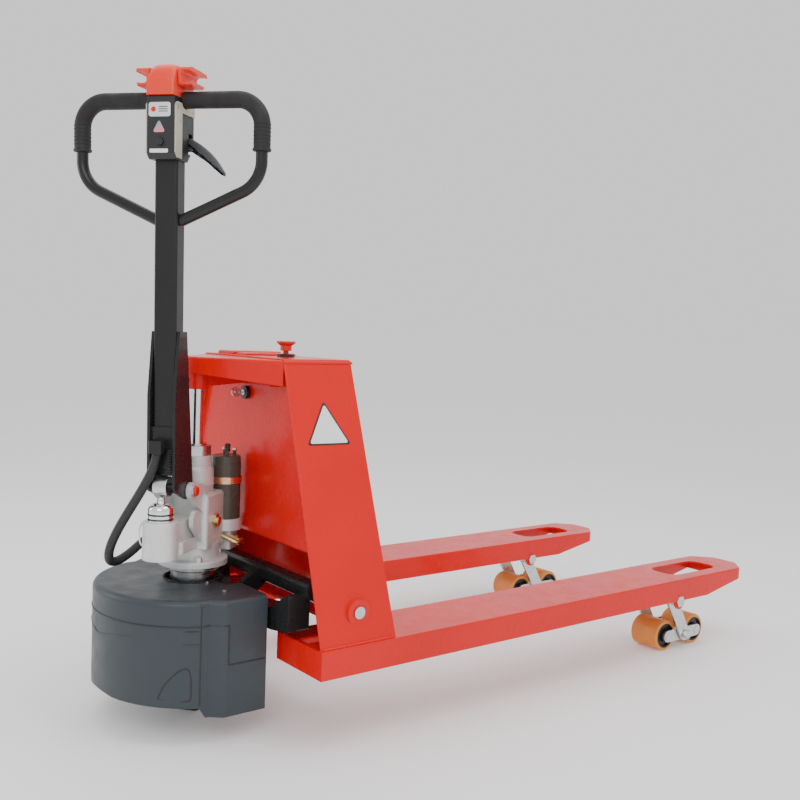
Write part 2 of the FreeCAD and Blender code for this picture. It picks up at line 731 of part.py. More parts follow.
def lift_motor():
    """Hydraulic motor can with its end cap, terminals and through screws."""
    can = motor_post(392.1, 508, motor_radius)
    cap = motor_post(507, 524, motor_radius - 0.8)
    cap = cap.makeFillet(4, edges_at_z(cap, 524))
    spots = ((14, 10), (14, -12), (-14, -8))
    posts = [post(motor_place.x + dx, motor_place.y + dy, 522, 534, 4) for dx, dy in spots]
    return joined([can, cap] + posts)


def motor_band():
    """Clamp band of the brush openings."""
    return motor_post(466, 480, motor_radius + 2).cut(motor_post(460, 490, motor_radius + 0.05))


def pump_block_space():
    """The room that the pump's block and waist take, for what is bolted against them."""
    side = block_half + press
    core = block(block_x[0], block_x[1] + press, -side, side, 300, 460)
    return [core, post(0, 0, 300, 360, waist_radius + press)]


def motor_bracket():
    """Cast foot that holds the motor on the pump block, with a gear pump under it."""
    foot = motor_post(368, 392, motor_radius + 4)
    web = block(38, motor_place.x, -46, 4, 360, 388)
    x, y = motor_place.x, motor_place.y
    gears = softened(block(x - 22, x + 20, y - 22, y + 22, 328, 369), 6, ALONG_Z)
    return without(joined([foot, web, gears]), pump_block_space())


def pump_fittings():
    """Plug, valve screws, pipe elbow and unions on the pump."""
    plug = nut(at(-8, -49.05, 398), 6, 26, at(0, -1, 0))
    plug_end = bar(at(-8, -49.05, 398), at(-8, -60, 398), 9)
    union = nut(at(motor_place.x, motor_place.y - 22.05, 346), 9, 19, at(0, -1, 0))
    elbow = tube([at(motor_place.x, motor_place.y - 30, 346), at(motor_place.x, motor_place.y - 46, 346),
                  at(30, motor_place.y - 46, 346), at(30, -49.05, 360)], [0, 12, 12, 0], 5)
    elbow = without(elbow, pump_block_space())
    valve = bar(at(10, 49.05, 420), at(10, 66, 420), 11)
    relief = nut(at(10, 66, 420), 8, 17, ALONG_Y)
    return group([joined([plug, plug_end]), joined([union, elbow]), joined([valve, relief])])


def drive_yoke():
    """Fork of plates under the spindle that holds the drive wheel's axle."""
    top = softened(block(-50, 50, -58, 58, spindle_bottom - 9, spindle_bottom - 0.05), 12, ALONG_Z)
    pieces = [top]
    axle = at(0, 0, wheel_radius)
    for y0 in (-56, 46):
        pieces.append(link(at(0, 0, spindle_bottom - 30), 30, axle, 24, y0, y0 + 10))
        pieces.append(block(-36, 36, y0, y0 + 10, spindle_bottom - 40, spindle_bottom - 8))
    return joined(pieces + [cross_bar(axle, -62, 62, 12)])


def drive_motor():
    """Drive motor beside the wheel, on the yoke's right cheek."""
    axle = at(0, 0, wheel_radius + 6)
    can = cross_bar(axle, -150, -63, 46)
    can = can.makeFillet(6, [e for e in can.Edges if isinstance(e.Curve, Part.Circle)])
    flange = cross_bar(axle, -68, -56.1, 36)
    return joined([can, flange]).cut(cross_bar(at(0, 0, wheel_radius), -70, -50, 22))


def drive_tyre():
    axle = at(0, 0, wheel_radius)
    tyre = cross_bar(axle, -wheel_width / 2, wheel_width / 2, wheel_radius)
    tyre = tyre.makeFillet(7, [e for e in tyre.Edges if isinstance(e.Curve, Part.Circle)])
    return tyre.cut(cross_bar(axle, -40, 40, wheel_radius - 16))


def drive_hub():
    axle = at(0, 0, wheel_radius)
    hub = cross_bar(axle, -wheel_width / 2 + 3, wheel_width / 2 - 3, wheel_radius - 16.05)
    boss = cross_bar(axle, -42, 42, 26)
    return joined([hub, boss]).cut(cross_bar(axle, -50, 50, 12.06))


def plunger():
    """Pump plunger with its spring cup: the tiller's roller rests on the cap."""
    cup = post(plunger_x, 0, boss_top - 3, 462, plunger_radius)
    cup = cup.makeFillet(4, edges_at_z(cup, 462))
    cap = post(plunger_x, 0, 460, plunger_cap, 16)
    grooves = []
    for z in (430, 440, 450):
        band = post(plunger_x, 0, z, z + 3, plunger_radius + 1)
        grooves.append(band.cut(post(plunger_x, 0, z, z + 3, plunger_radius - 2.5)))
    return joined([cup, cap]).cut(grooves)


def tiller_axle():
    """Pin through the pump's lugs and the mast's foot."""
    shank = cross_bar(tiller_pin, -41, 41, 8)
    return joined([shank] + [cross_bar(tiller_pin, s * 39.1, s * 43, 11) for s in (1, -1)])


# ---------------------------------------------------------------- conduit

def arc_radii(route):
    """Largest tangent arcs that each pair of runs leaves room for."""
    radii = [0.0]
    for before, corner, after in zip(route, route[1:], route[2:]):
        turn = (corner - before).getAngle(after - corner)
        shorter = min((corner - before).Length, (after - corner).Length)
        radii.append(0.45 * shorter / math.tan(turn / 2))
    return radii + [0.0]


def conduit():
    """Corrugated cable conduit from the mast's foot down and round behind the pump block."""
    radii = arc_radii(conduit_route)
    line = rounded_wire(conduit_route, radii, False)
    solid = tube(conduit_route, radii, conduit_radius)
    print("conduit radii", [round(r, 1) for r in radii[1:-1]], "length", round(line.Length, 1),
          "volume ratio", round(solid.Volume / (math.pi * conduit_radius ** 2 * line.Length), 4))
    return solid


# ---------------------------------------------------------------- tiller

def mast():
    outer = softened(block(mast_x - mast_depth / 2, mast_x + mast_depth / 2, -mast_width / 2, mast_width / 2,
                           512, mast_top), 5, ALONG_Z)
    inner = softened(block(mast_x - mast_depth / 2 + 3, mast_x + mast_depth / 2 - 3, -mast_width / 2 + 3,
                           mast_width / 2 - 3, 500, mast_top + 5), 2.5, ALONG_Z)
    return outer.cut(inner)


def mast_foot():
    """Welded bracket that widens from the mast to the tiller pivot and holds the pressure roller."""
    pieces = []
    front = mast_x - mast_depth / 2
    outline = [(front - 10, 660), (front - 10, 483), (front - 4, 475), (-102, 455), (-82, 454), (-72, 466),
               (-74, 490), (mast_x + mast_depth / 2 + 1, 780), (front + 6, 780)]
    for y0 in (-foot_half, mast_width / 2 + 0.05):
        cheek = plate_xz(outline, 1.5, y0, y0 + foot_half - mast_width / 2 - 0.05)
        pieces.append(cheek)
    web = block(front - 4, front - 0.05, -foot_half, foot_half, 520, 600)
    floor = block(front, mast_x + mast_depth / 2, -foot_half, foot_half, 506.5, 511.9)
    exit_point = conduit_route[0]
    hood = block(exit_point.x - 13, front - 2, exit_point.y - 13, exit_point.y + 13,
                 exit_point.z + press, exit_point.z + 24)
    whole = joined(pieces + [web, floor, softened(hood, 5, ALONG_Z)])
    axle = cross_bar(roller_axle, -foot_half - 2, foot_half + 2, 5)
    return joined([whole, axle]).cut(cross_bar(tiller_pin, -60, 60, 8 + running))


def pressure_roller():
    wheel = cross_bar(roller_axle, -14, 14, roller_wheel)
    wheel = wheel.makeFillet(1.5, [e for e in wheel.Edges if isinstance(e.Curve, Part.Circle)])
    return wheel.cut(cross_bar(roller_axle, -20, 20, 5.06))


def loop_points(side):
    return [at(mast_x, side * (mast_width / 2 + 0.05), loop_foot_z + 3),
            at(mast_x, side * loop_half, loop_elbow_z),
            at(mast_x, side * loop_half, loop_top), at(mast_x, 0, loop_top)]


def handle_loop():
    """Bent steel tube: up from the mast on each side and across the top."""
    left = loop_points(1)
    right = loop_points(-1)
    corners = left[:3] + [right[2], right[1], right[0]]
    whole = tube(corners, [0, 62, 48, 48, 62, 0], loop_tube)
    side, depth = mast_width / 2 + press, mast_depth / 2 + press
    return whole.cut(block(mast_x - depth, mast_x + depth, -side, side, 900, mast_top))


def handle_grips():
    """Rubber sleeves over the top bar and the upper sides of the loop."""
    grips = []
    for side in SIDES.values():
        route = [at(mast_x, side * grip_inner_y, loop_top), at(mast_x, side * loop_half, loop_top),
                 at(mast_x, side * loop_half, grip_end_z)]
        sleeve = tube(route, [0, 48, 0], grip_radius)
        grips.append(sleeve.cut(tube(route, [0, 48, 0], loop_tube + 0.05)))
    return group(grips)


def control_box():
    """Black housing round the mast's top, with a chamfered bottom and the loop's clamp."""
    outline = [(box_x[0], box_z[1]), (box_x[0], box_z[0] + 10), (box_x[0] + 8, box_z[0]),
               (box_x[1] - 26, box_z[0]), (box_x[1], box_z[0] + 30), (box_x[1], box_z[1])]
    shell = plate_xz(outline, 2, -box_half_width, box_half_width)
    bar_hole = bar(at(mast_x, -60, loop_top), at(mast_x, 60, loop_top), loop_tube + 0.06)
    mast_hole = block(mast_x - mast_depth / 2 - 0.1, mast_x + mast_depth / 2 + 0.1, -mast_width / 2 - 0.1,
                      mast_width / 2 + 0.1, 1000, mast_top + 0.1)
    horn_hole = bar(at(box_x[0] - 1, 0, horn_z), at(box_x[0] + 14, 0, horn_z), 6.5)
    lever_slot = block(mast_x + mast_depth / 2 + 2, mast_x + mast_depth / 2 + 18, -28, 0, 1112, 1150)
    return without(shell, [bar_hole, mast_hole, horn_hole, lever_slot])


def horn_button():
    return bar(at(box_x[0] - 4, 0, horn_z), at(box_x[0] + 10, 0, horn_z), 6.3)


def side_bezels():
    """Angular bezels on the box's sides: a strip down the front and one along the top."""
    pieces = []
    for side in SIDES.values():
        y0, y1 = sorted((side * (box_half_width + press), side * (box_half_width + 3)))
        outline = [(box_x[0] + 1, box_z[0] + 12), (box_x[0] + 9, box_z[0] + 3), (box_x[0] + 27, box_z[0] + 3),
                   (box_x[0] + 27, box_z[1] - 27), (box_x[1] - 2, box_z[1] - 27), (box_x[1] - 2, box_z[1] - 10),
                   (box_x[0] + 7, box_z[1] - 10), (box_x[0] + 1, box_z[1] - 16)]
        bezel = plate_xz(outline, 1.5, y0, y1)
        grip_space = bar(at(mast_x, side * 20, loop_top), at(mast_x, side * 60, loop_top), grip_radius + 1)
        pieces.append(bezel.cut(grip_space))
    return group(pieces)


def control_head():
    """Domed plastic head on the top bar: it holds the throttle shaft and the reverse button."""
    z0, z1 = box_z[1] + 0.1, 1270.0
    outline = [(head_x[0] + 12, z0), (head_x[0] + 12, z1 - 26), (head_x[0] + 30, z1), (head_x[1] - 34, z1),
               (head_x[1], z1 - 22), (head_x[1], z0)]
    dome = plate_xz(outline, 8, -head_half, head_half)
    dome = dome.makeFillet(5, [e for e in dome.Edges if e.BoundBox.ZMin > z0 + 12
                               and abs(abs(e.BoundBox.YMin) - head_half) < 0.01
                               and abs(abs(e.BoundBox.YMax) - head_half) < 0.01])
    top_bar = bar(at(mast_x, -60, loop_top), at(mast_x, 60, loop_top), grip_radius + 0.3)
    shaft = cross_bar(throttle_axis, -40, 40, 6 + running)
    pocket = softened(block(head_x[0] + 5, head_x[0] + 23, -21.6, 21.6, 1213.4, 1240.6), 7.3, ALONG_X)
    return without(dome, [top_bar, shaft, pocket])


def throttle():
    """Butterfly throttle: one shaft with a hollow wing at each end, open outwards."""
    pieces = [cross_bar(throttle_axis, -32, 32, 6)]
    x, z = throttle_axis.x, throttle_axis.z
    outline = [(x - 26, z - 12), (x + 24, z - 12), (x + 38, z + 2), (x + 44, z + 19), (x + 14, z + 20),
               (x - 30, z + 20)]
    for side in SIDES.values():
        y0, y1 = sorted((side * wing_y[0], side * wing_y[1]))
        wing = plate_xz(outline, 5, y0, y1)
        y2, y3 = sorted((side * (wing_y[0] + 6), side * (wing_y[1] + 1)))
        hollow = plate_yz([(y2, z - 7), (y3, z - 7), (y3, z + 14), (y2, z + 14)], 5, x - 60, x + 60)
        pieces.append(wing.cut(hollow))
    return joined(pieces)


def reverse_button():
    """Sprung safety button on the operator's end of the head."""
    pad = softened(block(head_x[0] + 2, head_x[0] + 15, -21, 21, 1214, 1240), 7, ALONG_X)
    return pad.makeFillet(4, [e for e in pad.Edges if abs(e.BoundBox.XMax - head_x[0] - 2) < 0.01])


def hand_lever():
    """Release lever: a bent blade that runs out and down beside the mast."""
    x0, x1 = lever_pivot.x - 6, lever_pivot.x + 6
    outline = [(lever_pivot.y + 8, lever_pivot.z + 8), (-30, 1142), (-58, 1124), (-80, 1103), (-99, 1078),
               (-96, 1071), (-77, 1086), (-56, 1103), (-34, 1119), (lever_pivot.y + 6, 1123)]
    pivot = bar(at(x0 - 1.5, lever_pivot.y, lever_pivot.z), at(x1 + 1.5, lever_pivot.y, lever_pivot.z), 5)
    return joined([plate_yz(outline, 3, x0, x1), pivot])


# ---------------------------------------------------------------- writing

def placed(shape, steered, leaning):
    body = shape.copy()
    if leaning:
        body.rotate(tiller_pin, ALONG_Y, -tiller_lean)
    if steered:
        body.rotate(V(0, 0, 0), ALONG_Z, steer_angle)
    body.translate(at(-(tip_x - front_reach) / 2, 0, 0))
    return body


def write(name, shape, steered=False, leaning=False):
    body = placed(shape, steered, leaning)
    body.exportStep(os.path.join("parts", name + ".step"))
    box = body.BoundBox
    state = "valid" if body.isValid() else "BROKEN"
    print(f"{name}: {len(body.Solids)} solid, {body.Volume / 1000:.1f} cm3, {state}, "
          f"x {box.XMin:.1f} {box.XMax:.1f} y {box.YMin:.1f} {box.YMax:.1f} z {box.ZMin:.1f} {box.ZMax:.1f}")


os.makedirs("parts", exist_ok=True)

write("side_plates", group([side_plate(side) for side in SIDES.values()]))
write("front_plate", front_plate())
write("back_plate", back_plate())
write("lift_head", lift_head())
write("piston_rod", piston_rod())
write("top_cover", top_cover())
write("stop_base", stop_base())
write("stop_button", stop_button())
write("key_switch", key_switch())
write("key", key())
write("batteries", batteries())
write("controller", controller())
write("frame_pins", frame_pins())
write("rocker", rocker())

for word, sign in SIDES.items():
    write("fork_" + word, fork(sign))
    write("push_rod_" + word, push_rod(sign))
    write("wheel_bracket_" + word, wheel_bracket(sign))
    write("bogie_" + word, bogie(sign))
    for place, offset in (("front", -1), ("rear", 1)):
        write(f"roller_tyre_{word}_{place}", roller_tyre(sign, offset))
        write(f"roller_hub_{word}_{place}", roller_hub(sign, offset))

write("bearing_housing", bearing_housing())
write("drive_lid", drive_lid())
write("drive_skirt", drive_skirt())
write("cover_screws", cover_screws())

for name, maker in (("steer_spindle", steer_spindle), ("pump_body", pump_body), ("gland_nut", gland_nut),
                    ("lift_motor", lift_motor), ("motor_band", motor_band), ("motor_bracket", motor_bracket),
                    ("pump_fittings", pump_fittings), ("drive_yoke", drive_yoke), ("drive_motor", drive_motor),
                    ("drive_tyre", drive_tyre), ("drive_hub", drive_hub), ("plunger", plunger),
                    ("tiller_axle", tiller_axle), ("conduit", conduit)):
    write(name, maker(), steered=True)

for name, maker in (("mast", mast), ("mast_foot", mast_foot), ("pressure_roller", pressure_roller),
                    ("handle_loop", handle_loop), ("handle_grips", handle_grips), ("control_box", control_box),
                    ("side_bezels", side_bezels), ("horn_button", horn_button), ("control_head", control_head),
                    ("throttle", throttle), ("reverse_button", reverse_button), ("hand_lever", hand_lever)):
    write(name, maker(), steered=True, leaning=True)
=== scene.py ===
import json
from math import asin, atan2, cos, pi, radians, sin

import bpy
import numpy as np
from mathutils import Matrix, Vector


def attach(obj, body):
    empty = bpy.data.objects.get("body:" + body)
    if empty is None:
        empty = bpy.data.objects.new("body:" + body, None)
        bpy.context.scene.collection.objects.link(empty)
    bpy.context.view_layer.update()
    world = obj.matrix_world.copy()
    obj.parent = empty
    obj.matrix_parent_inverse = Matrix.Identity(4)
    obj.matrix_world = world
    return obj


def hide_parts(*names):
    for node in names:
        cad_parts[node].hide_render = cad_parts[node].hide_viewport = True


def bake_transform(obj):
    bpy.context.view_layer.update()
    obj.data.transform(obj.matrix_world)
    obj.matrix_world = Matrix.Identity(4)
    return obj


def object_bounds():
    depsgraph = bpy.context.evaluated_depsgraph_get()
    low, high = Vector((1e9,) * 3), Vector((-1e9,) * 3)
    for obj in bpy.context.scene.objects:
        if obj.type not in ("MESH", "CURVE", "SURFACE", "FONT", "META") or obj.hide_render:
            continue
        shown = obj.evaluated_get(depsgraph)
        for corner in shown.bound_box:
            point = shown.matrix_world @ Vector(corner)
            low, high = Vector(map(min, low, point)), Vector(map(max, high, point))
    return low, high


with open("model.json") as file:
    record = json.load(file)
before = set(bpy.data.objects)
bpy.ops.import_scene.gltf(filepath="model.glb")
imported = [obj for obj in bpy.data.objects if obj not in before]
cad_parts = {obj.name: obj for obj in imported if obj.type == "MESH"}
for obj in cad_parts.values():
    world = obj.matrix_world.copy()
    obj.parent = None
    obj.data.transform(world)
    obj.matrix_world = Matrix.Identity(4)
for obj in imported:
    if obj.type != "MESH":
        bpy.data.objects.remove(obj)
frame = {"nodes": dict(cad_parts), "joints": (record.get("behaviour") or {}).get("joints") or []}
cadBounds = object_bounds()
print("frame loaded:", len(frame["nodes"]), "nodes")


# places and directions that the frame gives

def joint(name):
    return next(j for j in frame["joints"] if j["name"] == name)


pitchAxis = joint("tiller_pitch")["axis"]
steerPoint = np.array(joint("steer")["pos_m"][:2] + [0.0])
steerTurn = atan2(pitchAxis[0], -pitchAxis[1])
tillerLean = asin(joint("horn_press")["axis"][2])
tillerPin = np.array([-0.090, 0.0, 0.470])


def turned(points, axis, angle):
    # rotation of row vectors about a coordinate axis
    return points @ np.array(Matrix.Rotation(angle, 3, axis)).T


def placed(points, leaning=False):
    # points drawn straight ahead round the steering axis, moved to where the steered parts stand
    points = np.asarray(points, float)
    if leaning:
        points = turned(points - tillerPin, "Y", -tillerLean) + tillerPin
    return turned(points, "Z", steerTurn) + steerPoint


def drawn(points, leaning=False):
    # the reverse of placed: a point of the frame in the steered parts' own straight-ahead drawing
    points = turned(np.asarray(points, float) - steerPoint, "Z", -steerTurn)
    if leaning:
        points = turned(points - tillerPin, "Y", tillerLean) + tillerPin
    return points


# camera, light and floor

cameraSettings = {
    "place": (-1.5297, -1.8235, 0.796),
    "heading": radians(-38.1),
    "downward": radians(4.0),
    "roll": radians(2.2),
    "lens": 44.18,
}


def makeCamera():
    s = cameraSettings
    forward = Vector((-sin(s["heading"]) * cos(s["downward"]), cos(s["heading"]) * cos(s["downward"]),
                      -sin(s["downward"])))
    data = bpy.data.cameras.new("camera")
    data.lens = s["lens"]
    camera = bpy.data.objects.new("camera", data)
    camera.rotation_mode = "QUATERNION"
    upright = forward.to_track_quat("-Z", "Y")
    camera.rotation_quaternion = upright @ Matrix.Rotation(s["roll"], 3, "Z").to_quaternion()
    camera.location = s["place"]
    bpy.context.scene.collection.objects.link(camera)
    bpy.context.scene.camera = camera


lightSettings = {
    "world": (1.0, 1.0, 1.0),
    "worldStrength": 1.0,
    # place, aim, size, power
    "lamps": [
        ((-2.6, -2.6, 2.6), (-0.2, 0.0, 0.5), 2.0, 44.0),
        ((0.5, -1.2, 3.2), (0.2, 0.0, 0.3), 1.6, 26.0),
        ((-0.4, 0.8, 3.2), (0.0, 0.0, 0.2), 2.4, 26.0),
        ((-2.8, 1.8, 1.4), (-0.6, 0.0, 0.7), 1.2, 14.0),
    ],
}


def makeLights():
    s = lightSettings
    world = bpy.data.worlds.new("studio")
    world.use_nodes = True
    background = world.node_tree.nodes["Background"]
    background.inputs["Color"].default_value = (*s["world"], 1)
    background.inputs["Strength"].default_value = s["worldStrength"]
    bpy.context.scene.world = world
    for index, (place, aim, size, power) in enumerate(s["lamps"]):
        data = bpy.data.lights.new(f"softbox{index}", "AREA")
        data.size = size
        data.energy = power
        lamp = bpy.data.objects.new(f"softbox{index}", data)
        lamp.location = place
        lamp.rotation_mode = "QUATERNION"
        lamp.rotation_quaternion = (Vector(aim) - Vector(place)).to_track_quat("-Z", "Y")
        bpy.context.scene.collection.objects.link(lamp)


# surfaces

def finished(name, points, faces, crease=35.0):
    # a mesh object at the origin, smooth where its faces meet at less than the crease angle
    mesh = bpy.data.meshes.new(name)
    mesh.from_pydata(np.asarray(points, float).reshape(-1, 3).tolist(), [], faces)
    mesh.validate()
    mesh.shade_smooth()
    mesh.set_sharp_from_angle(angle=radians(crease))
    piece = bpy.data.objects.new(name, mesh)
    bpy.context.scene.collection.objects.link(piece)
    return piece


def gridFaces(rows, columns, start=0, closedRows=False, closedColumns=True):
    # four-sided faces over a grid of points, row by row
    i = np.arange(rows if closedRows else rows - 1)
    j = np.arange(columns if closedColumns else columns - 1)
    i, j = np.meshgrid(i, j, indexing="ij")
    nextRow, nextColumn = (i + 1) % rows, (j + 1) % columns
    corners = [i * columns + j, i * columns + nextColumn, nextRow * columns + nextColumn,
               nextRow * columns + j]
    return (np.stack(corners, -1).reshape(-1, 4) + start).tolist()


def skin(grid, closedRows=False):
    # points and faces of a closed skin: rings of points one after another, with both ends capped
    rows, columns = grid.shape[:2]
    faces = gridFaces(rows, columns, closedRows=closedRows)
    if not closedRows:
        faces.append(list(range(columns))[::-1])
        faces.append(list(range((rows - 1) * columns, rows * columns)))
    return grid.reshape(-1, 3), faces


def gathered(name, skins, crease=35.0):
    # several closed skins in one mesh object
    points, faces, count = [], [], 0
    for these, some in skins:
        points.append(these)
        faces += [[corner + count for corner in face] for face in some]
        count += len(these)
    piece = finished(name, np.concatenate(points), faces, crease)
    facedOutwards(piece)
    return piece


def facedOutwards(piece):
    # each separate skin gets its faces turned outwards
    import bmesh
    work = bmesh.new()
    work.from_mesh(piece.data)
    bmesh.ops.recalc_face_normals(work, faces=work.faces)
    work.to_mesh(piece.data)
    work.free()


def circle(count, phase=0.0):
    turn = np.linspace(0, 2 * pi, count, endpoint=False) + phase
    return np.stack([np.cos(turn), np.sin(turn)], -1)


def basis(direction):
    # two directions square to the given one
    along = np.asarray(direction, float)
    along = along / np.linalg.norm(along)
    other = np.array([0.0, 0.0, 1.0]) if abs(along[2]) < 0.9 else np.array([1.0, 0.0, 0.0])
    side = np.cross(other, along)
    side /= np.linalg.norm(side)
    return side, np.cross(along, side), along


def lathed(profile, base, direction, count=48):
    # surface of revolution: a profile of (radius, height) turned about a line
    side, up, along = basis(direction)
    profile = np.asarray(profile, float)
    ring = circle(count)
    spokes = ring[:, :1] * side + ring[:, 1:] * up
    grid = np.asarray(base) + profile[:, None, :1] * spokes + profile[:, None, 1:] * along
    return skin(grid)


def hexed(across, height, base, direction, chamfer=0.30):
    # bolt head: six flats, cut back at the top by a shallow cone
    side, up, along = basis(direction)
    count = 48
    turn = np.linspace(0, 2 * pi, count, endpoint=False)
    flat = across / 2 / np.cos((turn + pi / 6) % (pi / 3) - pi / 6)
    levels = np.array([0.0, 0.62, 0.82, 0.94, 1.0])
    cone = across / 2 * (1.155 - chamfer * np.clip(levels - 0.62, 0, 1) ** 1.1)
    radius = np.minimum(flat[None, :], cone[:, None])
    radius = np.concatenate([radius, radius[-1:] * 0.5])
    levels = np.append(levels, 1.0)
    spokes = np.cos(turn)[:, None] * side + np.sin(turn)[:, None] * up
    grid = np.asarray(base) + radius[..., None] * spokes + (levels * height)[:, None, None] * along
    return skin(grid)


def socketScrew(radius, height, base, direction):
    # round head with a six-sided recess
    side, up, along = basis(direction)
    turn = np.linspace(0, 2 * pi, 48, endpoint=False)
    round_ = np.ones_like(turn)
    flat = 0.52 / np.cos((turn + pi / 6) % (pi / 3) - pi / 6)
    shares = [round_, round_, round_ * 0.93, round_ * 0.72, flat, flat * 0.97, flat * 0.3]
    levels = [0.0, 0.85, 1.0, 1.0, 0.98, 0.35, 0.3]
    spokes = np.cos(turn)[:, None] * side + np.sin(turn)[:, None] * up
    grid = np.stack([np.asarray(base) + radius * share[:, None] * spokes + level * height * along
                     for share, level in zip(shares, levels)])
    return skin(grid)


def smoothLine(points, steps=12):
    # points along a smooth curve through a few places (Catmull-Rom spline)
    p = np.asarray(points, float)
    p = np.concatenate([2 * p[:1] - p[1:2], p, 2 * p[-1:] - p[-2:-1]])
    t = np.linspace(0, 1, steps, endpoint=False)[None, :, None]
    a, b, c, d = (p[i:len(p) - 3 + i, None, :] for i in range(4))
    line = 0.5 * (2 * b + (c - a) * t + (2 * a - 5 * b + 4 * c - d) * t ** 2
                  + (3 * b - a - 3 * c + d) * t ** 3)
    return np.concatenate([line.reshape(-1, 3), p[-2:-1]])


def evenly(line, spacing):
    # the same line with evenly spaced points, and the distance of each from the start
    steps = np.linalg.norm(np.diff(line, axis=0), axis=1)
    along = np.concatenate([[0.0], np.cumsum(steps)])
    count = max(2, int(round(along[-1] / spacing)) + 1)
    wanted = np.linspace(0, along[-1], count)
    return np.stack([np.interp(wanted, along, line[:, k]) for k in range(3)], -1), wanted


def frames(line):
    # side and up directions that follow a line without twisting
    tangents = np.gradient(line, axis=0)
    tangents /= np.linalg.norm(tangents, axis=1)[:, None]
    side = basis(tangents[0])[0]
    sides = []
    for tangent in tangents:
        side = side - tangent * (side @ tangent)
        side = side / np.linalg.norm(side)
        sides.append(side)
    sides = np.array(sides)
    return sides, np.cross(tangents, sides)


def tubed(line, radius, count=16):
    # round tube along a line; the radius may change along it
    sides, ups = frames(line)
    ring = circle(count)
    radius = np.broadcast_to(radius, (len(line),))
    spokes = ring[None, :, :1] * sides[:, None, :] + ring[None, :, 1:] * ups[:, None, :]
    return skin(line[:, None, :] + radius[:, None, None] * spokes)


def roundedOutline(corners, radius, steps=8):
    # closed outline whose corners are rounded by a parabola that starts `radius` from each corner
    p = np.asarray(corners, float)
    back, ahead = np.roll(p, 1, axis=0) - p, np.roll(p, -1, axis=0) - p
    lengthBack, lengthAhead = np.linalg.norm(back, axis=1), np.linalg.norm(ahead, axis=1)
    cut = np.minimum(np.minimum(np.broadcast_to(radius, len(p)), lengthBack * 0.45), lengthAhead * 0.45)
    start = p + back / lengthBack[:, None] * cut[:, None]
    end = p + ahead / lengthAhead[:, None] * cut[:, None]
    t = np.linspace(0, 1, steps)[None, :, None]
    curve = start[:, None] * (1 - t) ** 2 + 2 * p[:, None] * t * (1 - t) + end[:, None] * t ** 2
    return curve.reshape(-1, 2)


def inset(outline, amount):
    # outline moved inwards (to the left of its direction) along its own normals
    step = np.roll(outline, -1, axis=0) - np.roll(outline, 1, axis=0)
    length = np.maximum(np.linalg.norm(step, axis=1), 1e-9)
    normal = np.stack([-step[:, 1], step[:, 0]], -1) / length[:, None]
    return outline + normal * amount


def slab(outline, low, high, origin, first, second, edge=0.001):
    # plate of the given outline with softened edges; first x second points from low to high
    first, second = np.asarray(first, float), np.asarray(second, float)
    out = np.cross(first, second)
    turn = np.linspace(0, pi / 2, 4)
    edge = min(edge, (high - low) * 0.49)
    rings = [(edge * (1 - np.sin(a)), low + edge * (1 - np.cos(a))) for a in turn]
    rings += [(edge * (1 - np.cos(a)), high - edge * (1 - np.sin(a))) for a in turn]
    area = np.sum(outline[:, 0] * np.roll(outline[:, 1], -1) - outline[:, 1] * np.roll(outline[:, 0], -1))
    if area < 0:
        outline = outline[::-1]
    grid = []
    for amount, level in rings:
        shape = inset(outline, amount)
        grid.append(np.asarray(origin) + shape[:, :1] * first + shape[:, 1:] * second + level * out)
    return skin(np.array(grid))


# materials

